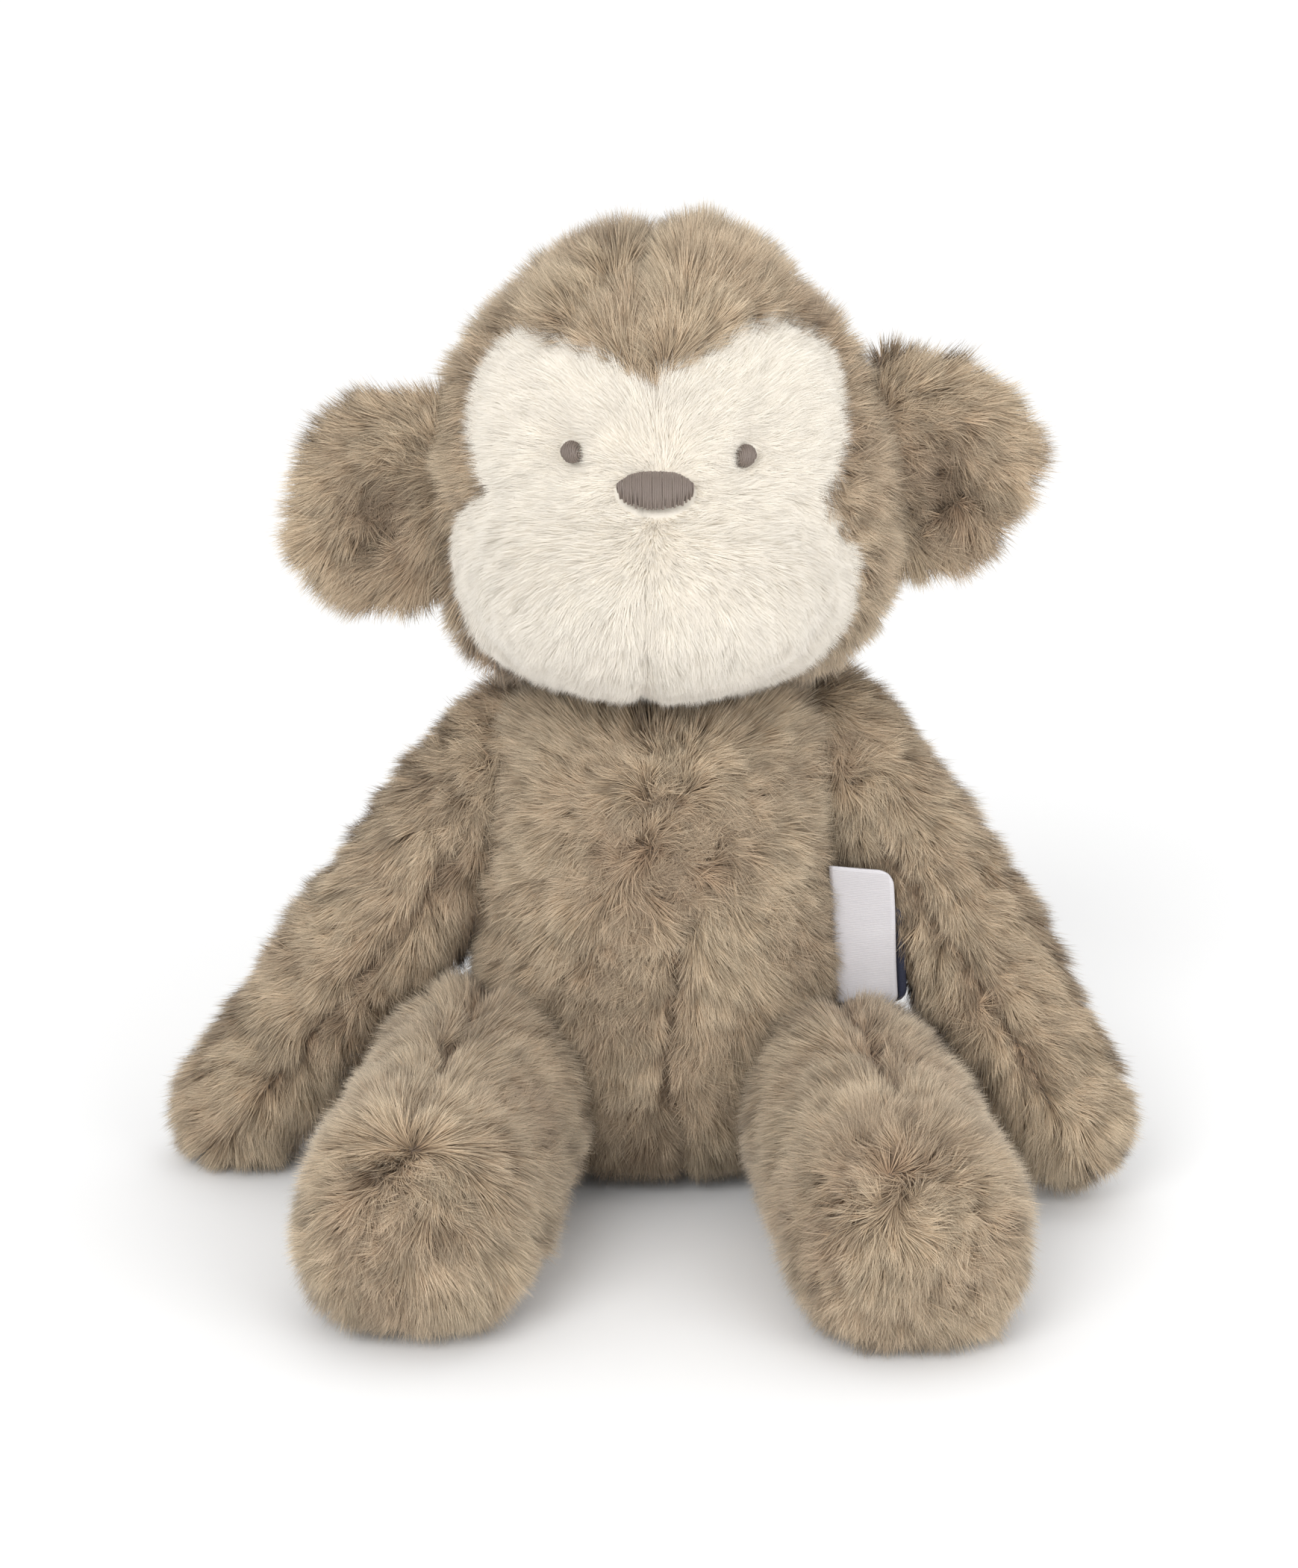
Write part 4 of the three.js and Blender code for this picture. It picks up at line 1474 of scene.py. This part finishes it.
@dataclass
class Leg(Limb):
    """A leg that lies forward, with its sole to the front."""

    outlines: Pair = Pair(
        ((4, -18), (12, -15), (17, -6), (19, 3), *LEG_SHAFT),
        ((4, -25), (13, -23), (19.5, -15), (21.2, 0), *LEG_SHAFT),
    )
    length: float = 89.0
    press: float = 3.2
    top_press: float = 0.04
    stretches: Pair = Pair(1.05, 1.0)
    sole_start: float = 82.0
    hip: Point = (41.0, -28.0, 26.0)
    feet: Pair = Pair((55.5, -120.0, 23.5), (-55.0, -112.0, 25.0))
    whorls: Pair = Pair((48.0, -114.0, 35.0), (-52.0, -106.0, 31.0))
    whorl_wide: float = 14.0
    whorl_half: Point = (15.0, 22.0, 9.0)

    def squareness(self, x: float, y: float) -> float:
        """The underside is pressed out square by the floor."""
        size = math.hypot(x, y)
        if y >= 0 or size < 1e-6:
            return 1.0 - self.top_press * (y > 0)
        power = self.press
        return ((abs(x) / size) ** power + (abs(y) / size) ** power) ** (-1 / power)

    def lay_out(self) -> Frame:
        """From the hip to the foot, with its seam on top."""
        self.body = f"leg_{self.side.word}"
        self.stretch = self.stretches.on(self.side)
        self.outline = self.outlines.on(self.side)
        hip = (self.side.value * self.hip[0], *self.hip[1:])
        return Frame.between(hip, self.feet.on(self.side), (0, 0, 1))

    def panels(self) -> tuple[Panel, ...]:
        """Outer and inner panels, and the sole."""
        name = self.body
        return (
            Panel(f"{name}_outer", (f"{name}_outer_panel", f"{name}_stuffing"), BODY_PILE),
            Panel(f"{name}_inner", (f"{name}_inner_panel",), BODY_PILE),
            Panel(f"foot_{self.side.word}", (f"foot_{self.side.word}_sole",), BODY_PILE),
        )

    def panel_at(self, spots: Array) -> Array:
        """The sole is past the end seam."""
        at = super().panel_at(spots)
        at[self.limb_frame.to_local(spots)[:, 1] > self.sole_start] = 2
        return at

    def bare(self, spots: Array) -> Array:
        """The sewn end has no pile."""
        return self.limb_frame.to_local(spots)[:, 1] < self.outline[1][1] + 3

    def seam_distance(self, spots: Array) -> Array:
        """Distance from the lengthwise seams and the sole's seam."""
        along = self.limb_frame.to_local(spots)[:, 1]
        lengthwise = np.where(along > self.sole_start, 1e3, super().seam_distance(spots))
        return np.minimum(lengthwise, np.abs(along - self.sole_start))

    def comb(self, spots: Array, normals: Array) -> Array:
        """Out from a whorl on the sole, and then off the top seam and down."""
        local = self.straight(spots)
        back = smoothstep(0, 60, self.sole_start - local[:, 1])[:, None]
        aside = np.sign(local[:, 0])[:, None] * self.limb_frame.axes[0]
        away = spots - self.whorls.on(self.side)
        near = mound(away, self.whorl_wide)
        way = unit(away * (1, 1, 0.8)) + aside * 0.9 * back
        way = tangent_part(way + (0, 0, -0.72), normals)
        return turned(way, normals, near * (soft_noise(spots, 7.0, 17) - 0.5) * 4.0)

    def ruffle(self, spots: Array) -> Array:
        """Most tousled round the sole's whorl."""
        away = (spots - self.whorls.on(self.side)) / self.whorl_half
        whorl = mound(away) * (0.05 + 0.35 * soft_noise(spots, 7.0, 18))
        return np.maximum(super().ruffle(spots), whorl)

    def trim(self, spots: Array, normals: Array) -> Array:
        """The sole's seam is hidden in full pile."""
        lengthwise = np.abs(self.straight(spots)[:, 0])
        lengthwise[self.limb_frame.to_local(spots)[:, 1] > self.sole_start - 6] = 1e3
        return 0.5 + 0.5 * smoothstep(0, self.seam_reach, lengthwise)


@dataclass
class Ear(StuffedBody):
    """A flat round ear in a front and a back panel."""

    side: Side = Side.LEFT
    voxel: float = 2.5
    cap: float = 1.0
    radii: Point = (17.5, 4.6, 23.8)
    across: float = 2.0
    root: float = 48.0
    reaches: Pair = Pair(61.5, 62.5)
    heights: Pair = Pair(162.3, 154.5)
    tilts: Pair = Pair(0.06, 0.1)
    hollow_deep: float = 3.2
    # The fold across the hollow: its level, slope and bend.
    creases: Pair = Pair((-8.1, -0.57, 0.0), (-8.6, 0.4, 0.06))
    crease_deep: float = 2.8
    crease_wide: float = 2.1
    corners: Pair = Pair(5.0, -9.0)
    corner_out: float = 3.0
    corner_wide: float = 8.0

    def __post_init__(self) -> None:
        """Sets the ear out on its side."""
        self.body = f"ear_{self.side.word}"
        reach = self.side.value * self.reaches.on(self.side)
        self.middle = np.array([reach, self.across, self.heights.on(self.side)])

    def panels(self) -> tuple[Panel, ...]:
        """Front and back panels."""
        pile = Pile(length=10.5, lean=0.65, bend=0.6, tuft=4.6, gather=0.25)
        return (
            Panel(f"{self.body}_front", (f"{self.body}_front_panel",), pile),
            Panel(f"{self.body}_back", (f"{self.body}_back_panel",), pile),
        )

    def form(self) -> bmesh.types.BMesh:
        """A flattened ball, tilted outwards."""
        form = bmesh.new()
        bmesh.ops.create_uvsphere(form, u_segments=32, v_segments=20, radius=1)
        for vert in form.verts:
            if vert.co.x * self.side.value < 0:
                vert.co.z /= max(0.35, math.sqrt(1 - vert.co.x**2)) ** 0.9
                vert.co.z += 0.3 * vert.co.x**2 * (vert.co.z > 0)
        bmesh.ops.scale(form, vec=self.radii, verts=form.verts)
        turn = Matrix.Rotation(self.tilts.on(self.side), 3, "Y")
        bmesh.ops.rotate(form, matrix=turn, verts=form.verts)
        bmesh.ops.translate(form, vec=Vector(self.middle), verts=form.verts)
        return form

    def panel_at(self, spots: Array) -> Array:
        """0 in front and 1 behind."""
        return np.where(spots[:, 1] < self.across, 0, 1)

    def bare(self, spots: Array) -> Array:
        """The sewn root has no pile."""
        return spots[:, 0] * self.side.value < self.root

    def seam_distance(self, spots: Array) -> Array:
        """Distance from the edge seam."""
        return np.abs(spots[:, 1] - self.across) * 2

    def comb(self, spots: Array, normals: Array) -> Array:
        """Out from the ear's middle and down."""
        inner = self.middle - np.array([self.side.value * 17.0, 0, -2.0])
        off = (spots - inner) * np.array([1.0, 1.0, 0.8])
        return tangent_part(unit(off) + np.array([0, 0, -0.2]), normals)

    def hollow(self, spots: Array) -> Array:
        """How deep in the hollow of the ear's front each place is, from 0 to 1."""
        off = spots - self.middle
        inward = -off[:, 0] * self.side.value
        apart = np.stack([(inward - 1) / 9.0, (off[:, 2] + 1) / 11.0], axis=1)
        return mound(apart) * (off[:, 1] < 0)

    def crease(self, spots: Array) -> Array:
        """How near each place is to the fold across the hollow, 1 on it."""
        off = spots - self.middle
        inward = -off[:, 0] * self.side.value
        level, slope, bend = self.creases.on(self.side)
        line = off[:, 2] - level - slope * inward - bend * np.maximum(inward, 0) ** 2
        ends = smoothstep(-9, -4, inward) * (1 - smoothstep(5, 9, inward))
        return bell(line, self.crease_wide) * ends * (off[:, 1] < 0)

    def trim(self, spots: Array, normals: Array) -> Array:
        """Parted along the fold and shorter in the hollow."""
        share = super().trim(spots, normals)
        return share * (1 - 0.55 * self.crease(spots)) * (1 - 0.3 * self.hollow(spots))

    def ruffle(self, spots: Array) -> Array:
        """Tousled in the hollow, where the tousle's darker, warmer tone is partly painted shade."""
        return np.maximum(super().ruffle(spots), 0.75 * self.hollow(spots))

    def shade(self, spots: Array) -> Array:
        """Painted shade: darker in the hollow and along the fold."""
        return 0.25 * self.hollow(spots) + 0.7 * self.crease(spots)

    def shape(self, piece: bpy.types.Object) -> None:
        """The hollow and its fold pressed into the ear's front, and the corner pulled out."""
        spots = spots_of(piece)
        spots[:, 1] += self.hollow_deep * self.hollow(spots) + self.crease_deep * self.crease(spots)
        off = spots - self.middle
        corner = bell(off[:, 2] - self.corners.on(self.side), self.corner_wide)
        outer = smoothstep(4, 16, off[:, 0] * self.side.value)
        spots[:, 0] += self.side.value * self.corner_out * corner * outer
        move_spots(piece, spots)


# ---------------------------------------------------------------- small pieces
@dataclass(frozen=True)
class Wad:
    """A lumpy ball of fibre: its CAD node, the body it rides on, its middle, radius and finish."""

    node: str
    body: str
    centre: Point
    radius: float
    finish: str = "stuffing_fibre"


@dataclass
class Filling:
    """The wads and the pouch of beans inside the seams."""

    wardrobe: Wardrobe
    wads: tuple[Wad, ...] = (
        Wad("neck_wad", "neck", (0.0, 2.0, 106.0), 16.0, "taupe_backing"),
        Wad("shoulder_left_wad", "shoulder_left", (43.5, 9.0, 89.0), 7.0),
        Wad("shoulder_right_wad", "shoulder_right", (-43.5, 9.0, 89.0), 7.0),
        Wad("hip_left_wad", "hip_left", (41.0, -28.0, 26.0), 11.0),
        Wad("hip_right_wad", "hip_right", (-41.0, -28.0, 26.0), 11.0),
    )
    wad_fill: float = 0.8
    lump_size: float = 0.7
    lump_height: float = 0.12
    pouch_radius: float = 31.0
    pouch_span: Spot = (5.0, 22.0)
    pouch_depth_ratio: float = 0.85
    pouch_fill: float = 0.6
    bean: float = 0.9

    def wad(self, wad: Wad) -> None:
        """Builds one wad."""
        form = bmesh.new()
        bmesh.ops.create_icosphere(form, subdivisions=3, radius=wad.radius)
        bmesh.ops.translate(form, vec=wad.centre, verts=form.verts)
        piece = piece_from(f"{wad.node}_fibre", form)
        spots, normals = spots_of(piece), normals_of(piece)
        lumps = soft_noise(spots, wad.radius * self.lump_size, 3) - 0.5
        move_spots(piece, spots + normals * (lumps * wad.radius * self.lump_height)[:, None])
        self.wardrobe.dress(piece, wad.finish)
        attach(piece, wad.body)
        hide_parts(wad.node)

    def pouch(self) -> None:
        """The low round pouch of beans in the seat."""
        low, high = self.pouch_span
        edge = self.pouch_radius
        form = spun(((edge * 0.7, low), (edge, (low + high) / 2), (edge * 0.75, high)), steps=32)
        bmesh.ops.scale(form, vec=(1, self.pouch_depth_ratio, 1), verts=form.verts)
        piece = piece_from("bean_pouch", form)
        remesh(piece, 2.5, 6)
        spots, normals = spots_of(piece), normals_of(piece)
        move_spots(piece, spots + normals * (self.bean * soft_noise(spots, 4.0, 9))[:, None])
        self.wardrobe.dress(piece, "bean_pouch")
        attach(piece, "torso")
        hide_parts("seat_bean_bag")

    def build(self) -> None:
        """Builds every wad and the pouch."""
        for wad in self.wads:
            self.wad(wad)
        self.pouch()


@dataclass
class Embroidery:
    """Satin-stitched eyes and nose on the face."""

    wardrobe: Wardrobe
    head: Head
    thread: float = 0.27
    pitch: float = 0.40
    points: int = 9
    lift: float = 2.7
    dome: float = 1.0
    tuck: float = 1.6
    eye_radius: float = 2.3
    eye_lean: float = 0.12
    nose_half: Spot = (7.9, 3.5)
    nose_square: float = 2.3
    nose_lift: float = 0.8

    def stitch(
        self, name: str, node: str, lines: Sequence[Array], half: Sequence[float], raised: float = 0.0
    ) -> None:
        """Lays threads over the skin from edge to edge.

        Args:
            name: the piece's name.
            node: the CAD node that it stands for.
            lines: each thread's two ends as [x, z].
            half: the patch's half width and half height, for its dome.
            raised: how much higher than usual it stands.
        """
        middle = np.mean([line.mean(axis=0) for line in lines], axis=0)
        curve = bpy.data.curves.new(name, "CURVE")
        curve.dimensions = "3D"
        curve.bevel_depth = self.thread * MM
        curve.bevel_resolution = 1
        curve.use_fill_caps = True
        for line in lines:
            spline = curve.splines.new("POLY")
            spline.points.add(self.points - 1)
            for k, share in enumerate(np.linspace(0, 1, self.points)):
                x, z = line[0] + (line[1] - line[0]) * share
                spot, normal = self.head.skin.front(x, z)
                out = math.hypot((x - middle[0]) / half[0], (z - middle[1]) / half[1])
                height = self.lift + raised + self.dome * math.sqrt(max(0.0, 1 - min(out, 1.0) ** 2))
                height -= self.tuck * (1 - math.sin(math.pi * share) ** 0.35)
                place = (spot + normal * height) * MM
                spline.points[k].co = (*place, 1)
        piece = new_piece(name, curve)
        graph = bpy.context.evaluated_depsgraph_get()
        graph.update()
        mesh = bpy.data.meshes.new_from_object(piece.evaluated_get(graph))
        bpy.data.objects.remove(piece)
        mesh.shade_smooth()
        piece = new_piece(name, mesh)
        self.wardrobe.dress(piece, "stitch_thread")
        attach(piece, "head")
        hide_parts(node)

    def eye(self, side: Side) -> None:
        """A round eye of upright stitches."""
        radius = self.eye_radius
        x0, z0 = self.head.eye_spots.on(side)
        lean = self.eye_lean * side.value
        lines = []
        for x in np.arange(-radius + 0.15, radius, self.pitch):
            tall = math.sqrt(max(0.0, radius**2 - x**2)) + 0.15
            lines.append(np.array([(x0 + x - lean, z0 - tall), (x0 + x + lean, z0 + tall)]))
        name = f"eye_{side.word}"
        self.stitch(f"{name}_stitching", f"{name}_embroidery", lines, (radius, radius))

    def nose(self) -> None:
        """A wide oval nose of upright stitches with a ragged lower edge."""
        x0, z0 = self.head.nose_spot
        wide, tall = self.nose_half
        lines = []
        for i, x in enumerate(np.arange(-wide + 0.2, wide, self.pitch)):
            rise = tall * max(0.0, 1 - abs(x / wide) ** self.nose_square) ** 0.5 + 0.15
            ragged = 0.45 * RNG.random() + (0.35 if i % 2 else 0.0)
            low = (x0 + x, z0 - rise - ragged + 0.5)
            high = (x0 + x, z0 + rise + 0.2 * RNG.random())
            lines.append(np.array([low, high]))
        self.stitch("nose_stitching", "nose_embroidery", lines, self.nose_half, raised=self.nose_lift)

    def build(self) -> None:
        """Sews both eyes and the nose."""
        for side in Side:
            self.eye(side)
        self.nose()


@dataclass(frozen=True)
class Leaf:
    """One tape leaf: its names, width and height, finish, and how far behind and below it hangs."""

    name: str
    node: str
    size: Spot
    finish: str
    slot: str
    behind: float
    drop: float = 0.0


@dataclass
class Labels:
    """The satin label in the side seam and the shorter navy one behind it."""

    wardrobe: Wardrobe
    leaves: tuple[Leaf, ...] = (
        Leaf("satin_label", "sewn_label", (15.2, 33.0), "grey_satin", "label_satin", 0.3),
        Leaf("navy_label", "care_label", (16.8, 23.0), "navy_tape", "label_navy", 2.0, drop=4.0),
    )
    root: Point = (38.5, -15.5, 57.5)
    lean: float = -0.05
    yaw: float = -0.42
    corner: float = 3.5
    thick: float = 0.5
    curl: float = 0.7
    ripple: float = 0.25

    def hang(self, leaf: Leaf) -> None:
        """Builds one leaf with rounded outer corners and a slight curl."""
        width, height = leaf.size
        form = bmesh.new()
        bmesh.ops.create_grid(form, x_segments=14, y_segments=36, size=0.5)
        tape = form.loops.layers.uv.new("tape")
        bmesh.ops.scale(form, vec=(width, height, 1), verts=form.verts)
        bmesh.ops.translate(form, vec=(width / 2, 0, 0), verts=form.verts)
        for face in form.faces:
            for loop in face.loops:
                loop[tape].uv = loop.vert.co.xy
        for vert in form.verts:
            past_x = vert.co.x - (width - self.corner)
            past_y = abs(vert.co.y) - (height / 2 - self.corner)
            far = math.hypot(past_x, past_y)
            if past_x > 0 and past_y > 0 and far > self.corner:
                shrink = self.corner / far
                vert.co.x = width - self.corner + past_x * shrink
                vert.co.y = math.copysign(height / 2 - self.corner + past_y * shrink, vert.co.y)
            share = vert.co.x / width
            curl = self.curl * share**2 + self.ripple * math.sin(vert.co.y * 0.22) * share
            vert.co = (vert.co.x, leaf.behind + curl, vert.co.y - leaf.drop)
        turn = Matrix.Rotation(self.lean, 4, "Y") @ Matrix.Rotation(self.yaw, 4, "Z")
        bmesh.ops.transform(form, matrix=Matrix.Translation(self.root) @ turn, verts=form.verts)
        piece = piece_from(leaf.name, form)
        wall = piece.modifiers.new("wall", "SOLIDIFY")
        wall.thickness = self.thick * MM
        wall.offset = 0
        settle(piece)
        self.wardrobe.dress(piece, leaf.finish)
        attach(piece, "label")
        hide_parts(leaf.node)

    def build(self) -> None:
        """Hangs both leaves."""
        for leaf in self.leaves:
            self.hang(leaf)


@dataclass(frozen=True)
class SoftLight:
    """A square soft light and the place it looks at, in metres and watts."""

    name: str
    place: Point
    power: float
    size: float
    looks_at: Point = (0.0, 0.0, 0.09)


@dataclass(frozen=True)
class WideLight:
    """A far, even light from the side that place is on, as wide as spread in degrees."""

    name: str
    place: Point
    strength: float
    spread: float


@dataclass
class Studio:
    """The pale floor, soft lights and the camera."""

    distance: float = 1100.0
    elevation: float = 18.0
    aim: Point = (0.0, 0.0, 92.0)
    lens: float = 133.9
    shift: Spot = (-0.0101, -0.0115)
    floor_size: float = 40.0
    floor_tones: Spot = (0.95, 0.97)
    sky: float = 0.75
    key: WideLight = WideLight("key", (-0.45, -1.0, 0.75), 1.4, 35.0)
    overhead: WideLight = WideLight("overhead", (0.1, 0.25, 1.0), 0.3, 60.0)
    fill: SoftLight = SoftLight("fill", (0.9, -1.1, 0.6), 6.5, 0.9)

    def floor(self) -> None:
        """A wide pale sweep under the toy."""
        form = bmesh.new()
        bmesh.ops.create_grid(form, x_segments=1, y_segments=1, size=self.floor_size / 2 / MM)
        piece = piece_from("floor", form, smooth=False)
        material, nodes, shader = start_material("pale_floor")
        low, high = ((tone, tone, tone, 1) for tone in self.floor_tones)
        nodes.feed(shader.inputs["Base Color"], nodes.mix(nodes.noise(6.0), low, high))
        shader.inputs["Roughness"].default_value = 0.8
        piece.data.materials.append(material)

    def place_light(self, light: bpy.types.Light, ahead: Vector) -> bpy.types.Object:
        """Puts a light in the scene, turned to shine the way of ahead."""
        lamp = bpy.data.objects.new(light.name, light)
        bpy.context.scene.collection.objects.link(lamp)
        lamp.rotation_mode = "QUATERNION"
        lamp.rotation_quaternion = ahead.to_track_quat("-Z", "Y")
        return lamp

    def soft_light(self, lamp: SoftLight) -> None:
        """Builds a soft light."""
        light = bpy.data.lights.new(lamp.name, "AREA")
        light.energy = lamp.power
        light.size = lamp.size
        place = Vector(lamp.place)
        self.place_light(light, Vector(lamp.looks_at) - place).location = place

    def wide_light(self, lamp: WideLight) -> None:
        """Builds a wide light."""
        light = bpy.data.lights.new(lamp.name, "SUN")
        light.energy = lamp.strength
        light.angle = math.radians(lamp.spread)
        self.place_light(light, -Vector(lamp.place))

    def camera(self) -> None:
        """The camera, straight in front and a little above."""
        data = bpy.data.cameras.new("camera")
        data.sensor_fit = "HORIZONTAL"
        data.sensor_width = 36.0
        data.lens = self.lens
        data.shift_x, data.shift_y = self.shift
        data.clip_start, data.clip_end = 0.05, 50.0
        camera = bpy.data.objects.new("camera", data)
        bpy.context.scene.collection.objects.link(camera)
        up = math.radians(self.elevation)
        back = Vector((0, -math.cos(up), math.sin(up)))
        camera.location = (Vector(self.aim) + back * self.distance) * MM
        camera.rotation_mode = "QUATERNION"
        camera.rotation_quaternion = (-back).to_track_quat("-Z", "Y")
        bpy.context.scene.camera = camera

    def build(self) -> None:
        """Sets the whole studio up."""
        self.floor()
        world = bpy.data.worlds.new("studio")
        world.use_nodes = True
        back = world.node_tree.nodes["Background"]
        back.inputs["Color"].default_value = (1, 1, 1, 1)
        back.inputs["Strength"].default_value = self.sky
        bpy.context.scene.world = world
        bpy.context.scene.view_settings.view_transform = "Standard"
        self.wide_light(self.key)
        self.wide_light(self.overhead)
        self.soft_light(self.fill)
        self.camera()


def main() -> None:
    """Builds the toy and its studio."""
    logging.basicConfig(level=logging.INFO, format="%(name)s %(message)s")
    wardrobe = Wardrobe()
    head = Head(wardrobe)
    bodies: list[StuffedBody] = [head, Torso(wardrobe)]
    for side in Side:
        bodies += [part(wardrobe, side=side) for part in (Ear, Arm, Leg)]
    for body in bodies:
        body.build()
        LOG.info("%s built", body.body)
    Filling(wardrobe).build()
    Embroidery(wardrobe, head).build()
    Labels(wardrobe).build()
    Studio().build()


if __name__ == "__main__":
    main()
